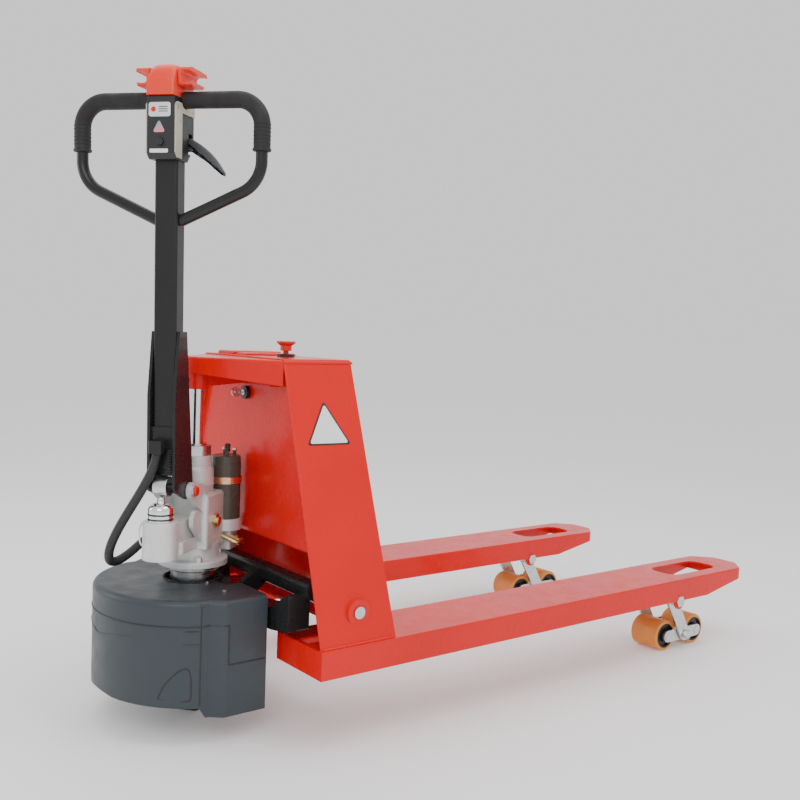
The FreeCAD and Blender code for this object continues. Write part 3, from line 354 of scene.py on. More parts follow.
class Finish:
    # a node material in the making; every pattern reads object coordinates
    def __init__(self, name, colour, metal=0.0, rough=0.5):
        self.material = bpy.data.materials.new(name)
        self.material.use_nodes = True
        self.nodes = self.material.node_tree.nodes
        self.links = self.material.node_tree.links
        self.shader = self.nodes["Principled BSDF"]
        self.set("Base Color", (*colour, 1))
        self.set("Metallic", metal)
        self.set("Roughness", rough)
        self.place = self.nodes.new("ShaderNodeTexCoord").outputs["Object"]
        self.colour = colour

    def set(self, socket, value):
        self.shader.inputs[socket].default_value = value

    def stretched(self, scale, turn=(0, 0, 0)):
        node = self.nodes.new("ShaderNodeMapping")
        node.inputs["Scale"].default_value = scale
        node.inputs["Rotation"].default_value = turn
        self.links.new(self.place, node.inputs["Vector"])
        return node.outputs["Vector"]

    def noise(self, scale, detail=3.0, rough=0.5, place=None):
        node = self.nodes.new("ShaderNodeTexNoise")
        node.inputs["Scale"].default_value = scale
        node.inputs["Detail"].default_value = detail
        node.inputs["Roughness"].default_value = rough
        self.links.new(place or self.place, node.inputs["Vector"])
        return node.outputs["Fac"]

    def cells(self, scale, feature="F1", place=None):
        node = self.nodes.new("ShaderNodeTexVoronoi")
        node.feature = feature
        node.inputs["Scale"].default_value = scale
        self.links.new(place or self.place, node.inputs["Vector"])
        return node.outputs["Distance"]

    def height(self, low, high):
        # 0 at the low level of the row frame, 1 at the high one
        node = self.nodes.new("ShaderNodeSeparateXYZ")
        self.links.new(self.place, node.inputs["Vector"])
        return self.range(node.outputs["Z"], 0.0, 1.0, low, high)

    def range(self, source, low, high, start=0.0, end=1.0):
        node = self.nodes.new("ShaderNodeMapRange")
        for socket, value in (("From Min", start), ("From Max", end), ("To Min", low), ("To Max", high)):
            node.inputs[socket].default_value = value
        self.links.new(source, node.inputs["Value"])
        return node.outputs["Result"]

    def mixed(self, factor, first, second):
        # first and second are colours or outputs
        node = self.nodes.new("ShaderNodeMix")
        node.data_type = "RGBA"
        self.links.new(factor, node.inputs["Factor"])
        for socket, value in ((node.inputs[6], first), (node.inputs[7], second)):
            if isinstance(value, tuple):
                socket.default_value = (*value, 1)
            else:
                self.links.new(value, socket)
        return node.outputs[2]

    def sum(self, first, second, kind="ADD"):
        node = self.nodes.new("ShaderNodeMath")
        node.operation = kind
        for socket, value in ((node.inputs[0], first), (node.inputs[1], second)):
            if isinstance(value, (int, float)):
                socket.default_value = value
            else:
                self.links.new(value, socket)
        return node.outputs[0]

    def edges(self, radius, low=0.02, high=0.20):
        # 1 on sharp convex and concave edges: where a rounded normal leaves the true one
        soft = self.nodes.new("ShaderNodeBevel")
        soft.samples = 4
        soft.inputs["Radius"].default_value = radius
        true = self.nodes.new("ShaderNodeNewGeometry")
        dot = self.nodes.new("ShaderNodeVectorMath")
        dot.operation = "DOT_PRODUCT"
        self.links.new(soft.outputs["Normal"], dot.inputs[0])
        self.links.new(true.outputs["Normal"], dot.inputs[1])
        return self.range(dot.outputs["Value"], 1.0, 0.0, 1 - high, 1 - low)

    def bump(self, height, distance, strength=1.0, soften=0.0):
        # height pattern as bump; soften rounds the edges' shading by that radius
        node = self.nodes.new("ShaderNodeBump")
        node.inputs["Distance"].default_value = distance
        node.inputs["Strength"].default_value = strength
        self.links.new(height, node.inputs["Height"])
        if soften:
            soft = self.nodes.new("ShaderNodeBevel")
            soft.samples = 4
            soft.inputs["Radius"].default_value = soften
            self.links.new(soft.outputs["Normal"], node.inputs["Normal"])
        self.links.new(node.outputs["Normal"], self.shader.inputs["Normal"])

    def feed(self, socket, source):
        self.links.new(source, self.shader.inputs[socket])


def glossPaint(name, colour, dark, soften=0.0012):
    # sprayed gloss: slow colour drift, fine orange-peel bump, edges' shading softened by the soften radius
    f = Finish(name, colour, rough=0.24)
    f.set("Specular IOR Level", 0.2)
    f.set("Coat Weight", 0.2)
    f.set("Coat Roughness", 0.08)
    drift = f.range(f.noise(5.0, 3), 0.0, 0.55, 0.35, 0.75)
    f.feed("Base Color", f.mixed(drift, colour, dark))
    f.feed("Roughness", f.range(f.noise(28.0, 4, 0.6), 0.17, 0.36, 0.3, 0.7))
    peel = f.sum(f.noise(420.0, 2), f.sum(f.noise(60.0, 2), 0.6, "MULTIPLY"))
    f.bump(peel, 0.0006, 0.16, soften)
    return f.material


def mouldedPlastic(name, colour, rough=0.42, grain=900.0, strength=0.28, soften=0.0008):
    # textured injection moulding: fine even grain, faint flow marks, paler scuffs on the edges
    f = Finish(name, colour, rough=rough)
    f.set("Specular IOR Level", 0.45)
    flow = f.range(f.noise(7.0, 4, 0.55), 0.0, 0.35, 0.4, 0.7)
    pale = tuple(min(1.0, c * 1.35 + 0.012) for c in colour)
    base = f.mixed(flow, colour, tuple(c * 0.82 for c in colour))
    f.feed("Base Color", f.mixed(f.sum(f.edges(0.0016), 0.35, "MULTIPLY"), base, pale))
    f.feed("Roughness", f.range(f.noise(24.0, 4, 0.6), rough - 0.07, rough + 0.09, 0.3, 0.7))
    f.bump(f.sum(f.noise(grain, 2, 0.6), f.sum(f.noise(9.0, 2), 1.5, "MULTIPLY")), 0.0005, strength, soften)
    return f.material


def rubber(name, colour, rough=0.62):
    # matt rubber: pebbled skin from small cells, with dusty paler patches
    f = Finish(name, colour, rough=rough)
    f.set("Specular IOR Level", 0.35)
    dust = f.range(f.noise(14.0, 5, 0.6), 0.0, 0.5, 0.45, 0.75)
    f.feed("Base Color", f.mixed(dust, colour, tuple(c * 1.7 + 0.006 for c in colour)))
    f.feed("Roughness", f.range(f.noise(40.0, 3), rough - 0.08, rough + 0.1, 0.3, 0.7))
    f.bump(f.sum(f.cells(520.0), f.noise(1400.0, 2), "ADD"), 0.0005, 0.35)
    return f.material


def castPaint(name, colour):
    # silver-painted sand casting: grainy skin from two noises, patchy darker grime, brighter worn edges
    f = Finish(name, colour, metal=0.35, rough=0.42)
    f.set("Coat Weight", 0.15)
    f.set("Coat Roughness", 0.25)
    grime = f.range(f.noise(18.0, 5, 0.62), 0.0, 0.6, 0.48, 0.78)
    base = f.mixed(grime, colour, tuple(c * 0.62 for c in colour))
    f.feed("Base Color", f.mixed(f.sum(f.edges(0.002), 0.6, "MULTIPLY"), base, (0.86, 0.86, 0.85)))
    f.feed("Roughness", f.range(f.noise(60.0, 4, 0.6), 0.3, 0.55, 0.3, 0.7))
    grain = f.sum(f.noise(330.0, 4, 0.65), f.sum(f.noise(45.0, 3), 1.4, "MULTIPLY"))
    f.bump(grain, 0.0011, 0.42, 0.0018)
    return f.material


def machined(name, colour, rough=0.24, lines=900.0, turn=(0, 0, 0), strength=0.12):
    # turned or ground metal: very fine parallel tool marks with soft smears across them
    f = Finish(name, colour, metal=1.0, rough=rough)
    marks = f.noise(1.0, 2, 0.5, f.stretched((lines * 0.03, lines * 0.03, lines), turn))
    smear = f.noise(30.0, 4, 0.6)
    f.feed("Roughness", f.range(f.sum(marks, smear, "ADD"), rough - 0.08, rough + 0.14, 0.7, 1.3))
    dull = tuple(c * 0.75 for c in colour)
    f.feed("Base Color", f.mixed(f.range(smear, 0.0, 0.5, 0.45, 0.8), colour, dull))
    f.bump(marks, 0.0003, strength, 0.0006)
    return f.material


def plated(name, colour, rough=0.3, scale=120.0):
    # zinc plating: small crystals of slightly different brightness over fine roughness
    f = Finish(name, colour, metal=0.9, rough=rough)
    spangle = f.cells(scale)
    dull = tuple(c * 0.7 for c in colour)
    f.feed("Base Color", f.mixed(f.range(spangle, 0.0, 0.6, 0.1, 0.7), colour, dull))
    f.feed("Roughness", f.range(f.noise(70.0, 4), rough - 0.08, rough + 0.14, 0.3, 0.7))
    f.bump(f.noise(500.0, 3), 0.0003, 0.2, 0.0007)
    return f.material


def polyurethane(name, colour):
    # translucent tyre: soft light inside, fine bumpy skin, dusty tread
    f = Finish(name, colour, rough=0.36)
    f.set("Subsurface Weight", 0.25)
    f.set("Subsurface Radius", (1.0, 0.45, 0.12))
    f.set("Subsurface Scale", 0.006)
    dust = f.range(f.noise(26.0, 5, 0.6), 0.0, 0.5, 0.5, 0.8)
    f.feed("Base Color", f.mixed(dust, colour, tuple(c * 0.6 for c in colour)))
    f.feed("Roughness", f.range(f.noise(60.0, 4), 0.26, 0.5, 0.3, 0.7))
    f.bump(f.noise(260.0, 3), 0.0004, 0.2)
    return f.material


finishes = {
    "red_paint": glossPaint("redPaint", (0.72, 0.004, 0.003), (0.58, 0.002, 0.002)),
    "red_plastic": mouldedPlastic("redKnob", (0.66, 0.006, 0.005), rough=0.3, strength=0.1),
    "orange_red_plastic": mouldedPlastic("headPlastic", (0.85, 0.035, 0.010), rough=0.36, strength=0.16),
    "black_plastic": mouldedPlastic("blackPlastic", (0.018, 0.018, 0.02), rough=0.4),
    "grey_plastic": mouldedPlastic("coverPlastic", (0.030, 0.040, 0.048), rough=0.4, grain=1100.0,
                                   strength=0.35),
    "beige_plastic": mouldedPlastic("greyBezel", (0.47, 0.44, 0.34), rough=0.38),
    "chrome": machined("chrome", (0.86, 0.87, 0.88), rough=0.1, strength=0.05),
    "steel": machined("turnedSteel", (0.62, 0.62, 0.63)),
    "zinc": plated("zincPlate", (0.72, 0.73, 0.73)),
    "cast_metal": castPaint("silverCasting", (0.66, 0.67, 0.66)),
    "aluminium": machined("aluminium", (0.7, 0.71, 0.72), rough=0.34),
    "brass": machined("brass", (0.74, 0.52, 0.26), rough=0.26),
    "copper": machined("copperBand", (0.80, 0.46, 0.28), rough=0.22),
    "bronze_paint": glossPaint("motorPaint", (0.075, 0.066, 0.055), (0.04, 0.036, 0.03)),
    "black_paint": glossPaint("blackPaint", (0.016, 0.016, 0.017), (0.010, 0.010, 0.011)),
    "rubber": rubber("blackRubber", (0.015, 0.015, 0.016)),
    "polyurethane": polyurethane("rollerTyre", (0.74, 0.27, 0.045)),
    "dark_lever": mouldedPlastic("leverPlastic", (0.045, 0.047, 0.05), rough=0.34),
}


def dressFrame():
    # every node of the frame gets the finish of its material slot
    for part in frame["nodes"].values():
        for slot in part.material_slots:
            key = slot.material.name.split(".")[0]
            slot.material = finishes.get(key, finishes["zinc"])


def belongs(piece, body, slotName, finish=None, replaced=()):
    piece.data.materials.append(finish or finishes[slotName])
    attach(piece, body)
    if replaced:
        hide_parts(*replaced)
    return piece


def makeStage():
    low = cadBounds[0].z
    reach = 400.0
    mesh = bpy.data.meshes.new("floor")
    corners = [(-reach, -reach, low), (reach, -reach, low), (reach, reach, low), (-reach, reach, low)]
    mesh.from_pydata(corners, [], [(0, 1, 2, 3)])
    floor = bpy.data.objects.new("floor", mesh)
    bpy.context.scene.collection.objects.link(floor)
    f = Finish("palePaper", (0.86, 0.86, 0.86), rough=0.8)
    # a little light of its own, so that far away the paper is as bright as the world behind it
    f.set("Specular IOR Level", 0.0)
    f.set("Emission Color", (1, 1, 1, 1))
    f.set("Emission Strength", 0.14 * lightSettings["worldStrength"])
    f.feed("Base Color", f.mixed(f.noise(3.0, 3), (0.85, 0.85, 0.85), (0.88, 0.88, 0.88)))
    floor.data.materials.append(f.material)


makeCamera()
makeLights()
makeStage()
dressFrame()
print("camera, lights, floor and finishes made")


# details on the steered parts, in metres, drawn straight ahead

def moved(skins, leaning=False):
    return [(placed(points, leaning), faces) for points, faces in skins]


def stood(skins):
    # skins drawn about the steering axis, moved without the steered parts' turn
    return [(points + steerPoint, faces) for points, faces in skins]


def ringed(profile, base, direction, count=64):
    # closed ring: a closed profile of (radius, height) turned about a line
    side, up, along = basis(direction)
    profile = np.asarray(profile, float)
    ring = circle(count)
    spokes = ring[:, :1] * side + ring[:, 1:] * up
    grid = np.asarray(base) + profile[:, None, :1] * spokes + profile[:, None, 1:] * along
    return skin(grid, closedRows=True)


def roundRing(radius, thickness, base, direction):
    # ring of round section
    section = circle(14) * thickness / 2
    return ringed(section + np.array([radius, 0.0]), base, direction)


conduitSettings = {
    # the places it passes, from the mast's foot to the gland on the pump
    "route": [(-0.160, 0.004, 0.552), (-0.161, 0.009, 0.526), (-0.163, 0.022, 0.497),
              (-0.164, 0.042, 0.462), (-0.163, 0.065, 0.426), (-0.160, 0.087, 0.390),
              (-0.154, 0.105, 0.354), (-0.136, 0.114, 0.327), (-0.108, 0.112, 0.321),
              (-0.080, 0.102, 0.331), (-0.056, 0.088, 0.350), (-0.038, 0.074, 0.366),
              (-0.030, 0.06005, 0.374)],
    "radius": 0.0086,
    "ripplePitch": 0.0036,
    "rippleDepth": 0.0009,
    "smoothEnd": 0.004,
    # two places on the route, near the gland and near the mast's foot
    "bendStart": (-0.060, 0.090, 0.380),
    "bendEnd": (-0.160, 0.004, 0.545),
}


def curvePoints(name, route):
    # points along a smooth curve that starts and ends at the first and last place
    curve = bpy.data.curves.new(name, "CURVE")
    curve.dimensions = "3D"
    curve.resolution_u = 24
    spline = curve.splines.new("NURBS")
    spline.points.add(len(route) - 1)
    for point, place in zip(spline.points, route):
        point.co = (*place, 1.0)
    spline.order_u = 3
    spline.use_endpoint_u = True
    holder = bpy.data.objects.new(name, curve)
    bpy.context.scene.collection.objects.link(holder)
    bpy.context.view_layer.update()
    mesh = bpy.data.meshes.new_from_object(holder)
    points = np.array([vertex.co[:] for vertex in mesh.vertices])
    bpy.data.objects.remove(holder)
    bpy.data.meshes.remove(mesh)
    return points


def makeConduit():
    # corrugated tube: its radius follows a raised cosine along the line, with round crests
    s = conduitSettings
    route = placed(s["route"])
    line, along = evenly(curvePoints("conduitLine", route), s["ripplePitch"] / 6)
    wave = np.abs(np.cos(pi * along / s["ripplePitch"])) ** 0.7
    calm = np.clip(np.minimum(along, along[-1] - along) / s["smoothEnd"], 0, 1)
    radius = s["radius"] + s["rippleDepth"] * (wave - 0.5) * calm
    piece = gathered("conduitHose", [tubed(line, radius, 20)], 60.0)
    piece.data.materials.append(finishes["black_plastic"])
    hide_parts("conduit")
    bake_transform(piece)
    length = float(np.sum(np.linalg.norm(np.diff(line, axis=0), axis=1)))
    print("conduit length", round(length, 4))
    path = [tuple(p) for p in line[::6]] + [tuple(line[-1])]
    return piece, path, length, tuple(route[0])


leverSettings = {
    "top": [(-0.012, 1.142), (-0.030, 1.1415), (-0.058, 1.1245), (-0.080, 1.104), (-0.098, 1.079)],
    "under": [(-0.0965, 1.0725), (-0.077, 1.0875), (-0.056, 1.1045), (-0.034, 1.120), (-0.014, 1.1235)],
    "bumpPitch": 0.020,
    "bumpDepth": 0.0018,
    "fadeTip": 0.012,
    "fadeRoot": 0.03,
    "width": 0.0125,
    "edge": 0.0035,
    "pin": (-0.020, 1.134),
    "pinProfile": [(0.0005, -0.0075), (0.0044, -0.0075), (0.005, -0.0069), (0.005, 0.0069),
                   (0.0044, 0.0075), (0.0005, 0.0075)],
}


def sideLine(places):
    # evenly spaced points of a smooth line in a plane of constant x, and their distances
    return evenly(smoothLine([(0.0, y, z) for y, z in places]), 0.002)


def makeLever():
    # bent blade with finger hollows: the underside's line is lowered and raised by a sine
    s = leverSettings
    top = sideLine(s["top"])[0]
    under, along = sideLine(s["under"])
    fade = np.clip(np.minimum(along / s["fadeTip"], (along[-1] - along) / s["fadeRoot"]), 0, 1)
    under[:, 2] -= s["bumpDepth"] * np.sin(2 * pi * along / s["bumpPitch"]) * fade
    outline = roundedOutline(np.concatenate([top[:, 1:], under[:, 1:]]), 0.0015, 3)
    x = drawn(np.array(joint("lever_squeeze")["pos_m"]), leaning=True)[0]
    half = s["width"] / 2
    blade = slab(outline, -half, half, (x, 0, 0), (0, 1, 0), (0, 0, 1), s["edge"])
    pin = lathed(s["pinProfile"], (x, *s["pin"]), (1, 0, 0), 24)
    piece = gathered("leverBlade", moved([blade, pin], leaning=True), 40.0)
    belongs(piece, "hand_lever", "dark_lever", replaced=("hand_lever",))


pumpSettings = {
    "flangeTop": 0.320,
    "flangeBoltCircle": 0.0605,
    "flangeBoltTurns": [35, 90, 145, 215, 325],
    "flangeBoltAcross": 0.013,
    "washer": [(0.0005, 0.0), (0.0085, 0.0), (0.0085, 0.0012), (0.0078, 0.0016), (0.0005, 0.0016)],
    "washerHeight": 0.0014,
    "blockTop": 0.455,
    "blockScrews": [(-0.035, 0.036), (-0.035, -0.036), (0.033, 0.037)],
    "blockFront": -0.0455,
    "frontBolts": [(-0.030, 0.430), (-0.030, 0.372), (0.026, 0.372)],
    # radius, thickness and height of the turned rings on the cylinder
    "rings": [(0.0375, 0.003, 0.470), (0.0325, 0.0024, 0.512)],
    "pinEnd": 0.043,
    "pinCap": [(0.0005, 0.0), (0.0096, 0.0), (0.0096, 0.003), (0.0085, 0.0046), (0.004, 0.0052),
               (0.0005, 0.0053)],
    "motorTop": 0.5335,
    "knobPlace": (0.051, -0.048),
    "knob": [(0.0005, 0.0), (0.0062, 0.0), (0.0064, 0.003), (0.0052, 0.004), (0.0052, 0.009),
             (0.0064, 0.0105), (0.0060, 0.0145), (0.004, 0.0158), (0.0005, 0.016)],
    "terminals": [(0.079, -0.030), (0.079, -0.052)],
    "terminalAcross": 0.009,
    "loopMiddle": (-0.150, 0.0335, 0.391),
    "loopReach": (0.006, 0.007, 0.024),
    "loopHook": (0.004, -0.004, 0),
    "loopWire": 0.0016,
}


def makePumpBolts():
    s = pumpSettings
    skins = []
    circleRadius = s["flangeBoltCircle"]
    for turn in np.radians(s["flangeBoltTurns"]):
        x, y, z = circleRadius * cos(turn), circleRadius * sin(turn), s["flangeTop"]
        skins.append(lathed(s["washer"], (x, y, z), (0, 0, 1), 32))
        skins.append(hexed(s["flangeBoltAcross"], 0.0075, (x, y, z + s["washerHeight"]), (0, 0, 1)))
    for x, y in s["blockScrews"]:
        skins.append(socketScrew(0.0055, 0.005, (x, y, s["blockTop"] - 0.0002), (0, 0, 1)))
    for y, z in s["frontBolts"]:
        skins.append(hexed(0.011, 0.006, (s["blockFront"], y, z), (-1, 0, 0)))
    belongs(gathered("pumpBolts", moved(skins)), "pump", "zinc")


def makePumpTrim():
    # turned rings on the cylinder, the pin's red cap, the motor's knob and nuts, and a wire loop
    s = pumpSettings
    rings = [roundRing(radius, thickness, (0, 0, z), (0, 0, 1)) for radius, thickness, z in s["rings"]]
    belongs(gathered("cylinderRings", moved(rings)), "pump", "cast_metal")
    cap = lathed(s["pinCap"], tillerPin + np.array([0, -s["pinEnd"], 0]), (0, -1, 0), 40)
    belongs(gathered("pinCap", moved([cap])), "pump", "red_plastic")
    knob = lathed(s["knob"], (*s["knobPlace"], s["motorTop"]), (0, 0, 1), 36)
    belongs(gathered("terminalKnob", moved([knob])), "pump", "black_plastic")
    nuts = [hexed(s["terminalAcross"], 0.0045, (x, y, s["motorTop"]), (0, 0, 1)) for x, y in s["terminals"]]
    belongs(gathered("terminalNuts", moved(nuts)), "pump", "brass")
    turn = np.linspace(0, pi, 40)
    middle, reach = s["loopMiddle"], s["loopReach"]
    loop = np.stack([middle[0] - reach[0] * np.sin(turn), middle[1] + reach[1] * np.sin(turn),
                     middle[2] + reach[2] * np.cos(turn)], -1)
    loop[[0, -1]] += s["loopHook"]
    belongs(gathered("loopWire", moved([tubed(loop, s["loopWire"], 12)])), "pump", "chrome")


plungerSettings = {
    "axis": (-0.150, 0.0, 0.0),
    "radius": 0.0248,
    "foot": 0.4165,
    "grooves": (0.4215, 0.4305),
    "grooveRadius": 0.0236,
    "shoulderRadius": 0.010,
    "shoulderFoot": 0.440,
    "shoulderRise": 0.013,
    "neck": [(0.0085, 0.4545), (0.0075, 0.458), (0.0075, 0.4625), (0.0066, 0.4643), (0.0005, 0.4645)],
    # black rings sunk in the two grooves: painted dark reflections on the chrome barrel
    "wiperRadius": 0.0237,
    "wiperThickness": 0.0022,
}


def makePlunger():
    # chromed plunger: grooved barrel, quarter-ellipse shoulder and a narrow neck under the roller
    s = plungerSettings
    axis, radius = s["axis"], s["radius"]
    profile = [(0.0005, s["foot"]), (radius, s["foot"])]
    for low in s["grooves"]:
        profile += [(radius, low), (s["grooveRadius"], low + 0.0006), (s["grooveRadius"], low + 0.0034),
                    (radius, low + 0.004)]
    for turn in np.linspace(0, pi / 2, 10):
        profile.append((s["shoulderRadius"] + (radius - s["shoulderRadius"]) * cos(turn),
                        s["shoulderFoot"] + s["shoulderRise"] * sin(turn)))
    piece = gathered("plungerBarrel", moved([lathed(profile + s["neck"], axis, (0, 0, 1), 72)]))
    belongs(piece, "plunger", "chrome", replaced=("plunger",))
    # black rubber rings in the grooves: painted dark reflections on the chrome barrel
    darkBands = [roundRing(s["wiperRadius"], s["wiperThickness"], (axis[0], 0, low + 0.002), (0, 0, 1))
              for low in s["grooves"]]
    belongs(gathered("plungerWipers", moved(darkBands)), "plunger", "rubber")


headSettings = {
    "middle": -0.125,
    "halfLength": 0.0445,
    "halfWidth": 0.0268,
    "foot": 1.2093,
    "rise": 0.0605,
    "rounding": 0.62,
}


def makeHead():
    # domed head: each slice across it is half a superellipse that shrinks towards both sides
    s = headSettings
    slices, spots = 41, 49
    share = np.sin(np.linspace(-pi / 2, pi / 2, slices)) * 0.999
    size = (1 - np.abs(share) ** 3.6) ** 0.33
    size = s["rounding"] + (1 - s["rounding"]) * size
    turn = np.linspace(0, pi, spots)
    across = np.sign(np.cos(turn)) * np.abs(np.cos(turn)) ** 0.62
    up = np.sin(turn) ** 0.78
    grid = np.stack([s["middle"] + s["halfLength"] * across[None, :] * (0.9 + 0.1 * size[:, None]),
                     np.broadcast_to(share[:, None] * s["halfWidth"], (slices, spots)),
                     s["foot"] + s["rise"] * up[None, :] * size[:, None]], -1)
    piece = gathered("headDome", moved([skin(grid)], True), 50.0)
    belongs(piece, "tiller", "orange_red_plastic", replaced=("control_head",))


springSettings = {
    "turns": 9,
    "low": 0.516,
    "high": 0.560,
    "radius": 0.0052,
    "wire": 0.0011,
    "middle": (-0.1525, -0.018),
    # its ends reach back to the foot's web
    "anchor": -0.1435,
    "overrun": 0.004,
}


def makeFootSpring():
    # coil spring on the mast's foot: a helix, height growing evenly with the turn
    s = springSettings
    x, y = s["middle"]
    low, high, radius = s["low"], s["high"], s["radius"]
    turn = np.linspace(0, 2 * pi * s["turns"], 24 * s["turns"])
    coil = np.stack([x + radius * np.cos(turn), y + radius * np.sin(turn),
                     low + (high - low) * turn / turn[-1]], -1)
    line = np.concatenate([[[s["anchor"], y, low - s["overrun"]]], coil,
                           [[s["anchor"], y, high + s["overrun"]]]])
    piece = gathered("footSpring", moved([tubed(line, s["wire"], 8)], leaning=True))
    belongs(piece, "tiller", "black_paint")


boxSettings = {
    "front": -0.164,
    "sideFace": 0.02995,
    "screws": [(-0.152, 1.1035), (-0.157, 1.190), (-0.090, 1.1905), (-0.1435, 1.168)],
    # left, right, low and high edges, and corner radius, of the labels on the front
    "plate": (-0.0195, 0.0235, 1.1710, 1.1965, 0.005),
    "plateThickness": 0.0008,
    "strip": (-0.015, 0.0215, 1.1065, 1.1135, 0.002),
    "stripThickness": 0.0006,
    "lineHeights": (1.1795, 1.1835, 1.1875),
    "lineSpan": (-0.014, 0.004),
    "lineWidth": 0.0016,
    "mark": [(0.0005, 0.0), (0.0048, 0.0), (0.0048, 0.0003), (0.0005, 0.0004)],
    "markPlace": (0.014, 1.184),
    "triangle": [(0.0155, 1.1430), (-0.0095, 1.1430), (0.003, 1.1660)],
    "triangleHeight": 0.023,
    "triangleRadius": 0.006,
    "collarRadius": 0.0078,
    "collarThickness": 0.0022,
    "hornHeight": 1.126,
}


def onFront(outline, height, level=0.0):
    # thin plate on the control box's front; the outline gives (y, z)
    points = np.asarray(outline, float) * np.array([-1.0, 1.0])
    front = (boxSettings["front"], 0, 0)
    return slab(points, level, level + height, front, (0, -1, 0), (0, 0, 1), height * 0.4)


def rounded(y0, y1, z0, z1, radius):
    return roundedOutline([(y0, z0), (y1, z0), (y1, z1), (y0, z1)], radius)


def stickerFinish(name, colour, rough=0.32, metal=0.0, second=None, levels=None):
    # printed foil: flat colour, or one colour running into another by height, under a satin film
    f = Finish(name, colour, metal, rough)
    if second:
        f.feed("Base Color", f.mixed(f.height(*levels), colour, second))
    f.feed("Roughness", f.range(f.noise(90.0, 3), rough - 0.06, rough + 0.1, 0.3, 0.7))
    f.bump(f.noise(240.0, 2), 0.0002, 0.1)
    return f.material


def makeLabels():
    s = boxSettings
    thick, front = s["plateThickness"], s["front"]

    def onBox(name, skins, slotName, finish=None):
        belongs(gathered(name, moved(skins, True)), "tiller", slotName, finish)

    onBox("boxPlate", [onFront(rounded(*s["plate"]), thick)], "zinc",
          stickerFinish("silverFoil", (0.72, 0.73, 0.75), 0.3, 0.35))
    onBox("roundMark", [lathed(s["mark"], (front - thick, *s["markPlace"]), (-1, 0, 0), 36)], "red_plastic")
    left, right = s["lineSpan"]
    lines = [onFront([(left, z), (right, z), (right, z + s["lineWidth"]), (left, z + s["lineWidth"])],
                     0.0002, thick) for z in s["lineHeights"]]
    onBox("plateLines", lines, "grey_plastic")
    level = float(placed([(front, 0, s["triangle"][0][1])], True)[0, 2])
    triangle = roundedOutline(s["triangle"], s["triangleRadius"])
    fade = stickerFinish("levelMark", (0.85, 0.20, 0.28), 0.3, 0.0, (0.03, 0.42, 0.46),
                         (level, level + s["triangleHeight"]))
    onBox("triangleMark", [onFront(triangle, s["stripThickness"])], "red_plastic", fade)
    onBox("lowerStrip", [onFront(rounded(*s["strip"]), s["stripThickness"])], "zinc",
          stickerFinish("whiteStrip", (0.80, 0.80, 0.80), 0.35))
    place = (front - 0.0004, 0, s["hornHeight"])
    onBox("hornCollar", [roundRing(s["collarRadius"], s["collarThickness"], place, (-1, 0, 0))],
          "black_plastic")
    screws = [socketScrew(0.0026, 0.0016, (x, side * s["sideFace"], z), (0, side, 0)) for side in (1, -1)
              for x, z in s["screws"]]
    onBox("bezelScrews", screws, "zinc")


gripSettings = {
    "barX": -0.124,
    "barHeight": 1.207,
    "half": 0.181,
    "end": 1.114,
    "collar": [(0.0112, 0.0), (0.0158, 0.0), (0.0172, 0.0012), (0.0172, 0.0042), (0.0160, 0.0054),
               (0.0112, 0.0054)],
    "rings": 6,
    "firstRing": 1.128,
    "ringPitch": 0.007,
    "ringRadius": 0.01535,
    "ringThickness": 0.0018,
    "sleeve": [(0.0112, 0.0285), (0.0146, 0.0285), (0.0153, 0.0292), (0.0153, 0.0580), (0.0112, 0.0580)],
}


def makeGripCollars():
    # thick rolled edge where each grip ends, low rings above it, and the sleeves beside the box
    s = gripSettings
    skins = []
    for side in (1, -1):
        x, y = s["barX"], side * s["half"]
        skins.append(ringed(s["collar"], (x, y, s["end"]), (0, 0, 1)))
        for k in range(s["rings"]):
            place = (x, y, s["firstRing"] + s["ringPitch"] * k)
            skins.append(roundRing(s["ringRadius"], s["ringThickness"], place, (0, 0, 1)))
        skins.append(ringed(s["sleeve"], (x, 0, s["barHeight"]), (0, side, 0)))
    belongs(gathered("gripCollars", moved(skins, True)), "tiller", "rubber")


coverSettings = {
    "frontRadius": 0.1971,
    "frontTurn": 112.0,
    "sideFace": 0.2031,
    "sideEnd": 0.058,
    "stepPlace": -0.022,
    "seam": 0.229,
    "step": 0.153,
    # from the side face to the round front, through the corner between them
    "corner": [(-0.028, -0.2031), (-0.050, -0.1848), (-0.062, -0.1836)],
    "seamWidth": 0.0014,
    "lineWidth": 0.0012,
    "spacing": 0.0015,
    # turn about the steering axis in degrees, and height
    "panel": [(134.0, 0.091), (130.0, 0.119), (122.5, 0.145), (117.0, 0.145), (115.8, 0.098),
              (118.5, 0.087)],
    "fold": [(188.0, 0.184), (175.0, 0.192), (160.0, 0.200), (149.0, 0.2045)],
    "foldWidth": 0.0016,
    # ends in degrees and height of a short black strip: painted shade in a short groove
    "shortGroove": (120.5, 111.5, 0.2203),
    "shortRib": (121, 111, 0.1953),
    "ribWidth": 0.0013,
    # place of the black line down each flute: painted shade in the groove
    "flute": (-0.0705, 0.1826),
    "fluteHeights": (0.078, 0.266),
    "lip": [(0.0560, -0.003), (0.0560, 0.0012), (0.0570, 0.0022), (0.0592, 0.0022), (0.0602, 0.0006),
            (0.0602, 0.0), (0.0575, -0.0005), (0.0575, -0.003)],
    "lipHeight": 0.2771,
}


def onCover(turn, z):
    # place on the cover's round front
    radius = coverSettings["frontRadius"]
    return (radius * cos(radians(turn)), radius * sin(radians(turn)), z)


def tapered(line, width, start, end):
    # strip whose width follows a sine from one end of the line to the other
    return tubed(line, width * np.sin(np.linspace(start, pi - end, len(line))), 10)


def makeCoverLip():
    # rubber lip round the cover's hole
    lip = ringed(coverSettings["lip"], (0, 0, coverSettings["lipHeight"]), (0, 0, 1), 96)
    belongs(gathered("coverLip", moved([lip])), "base", "rubber")


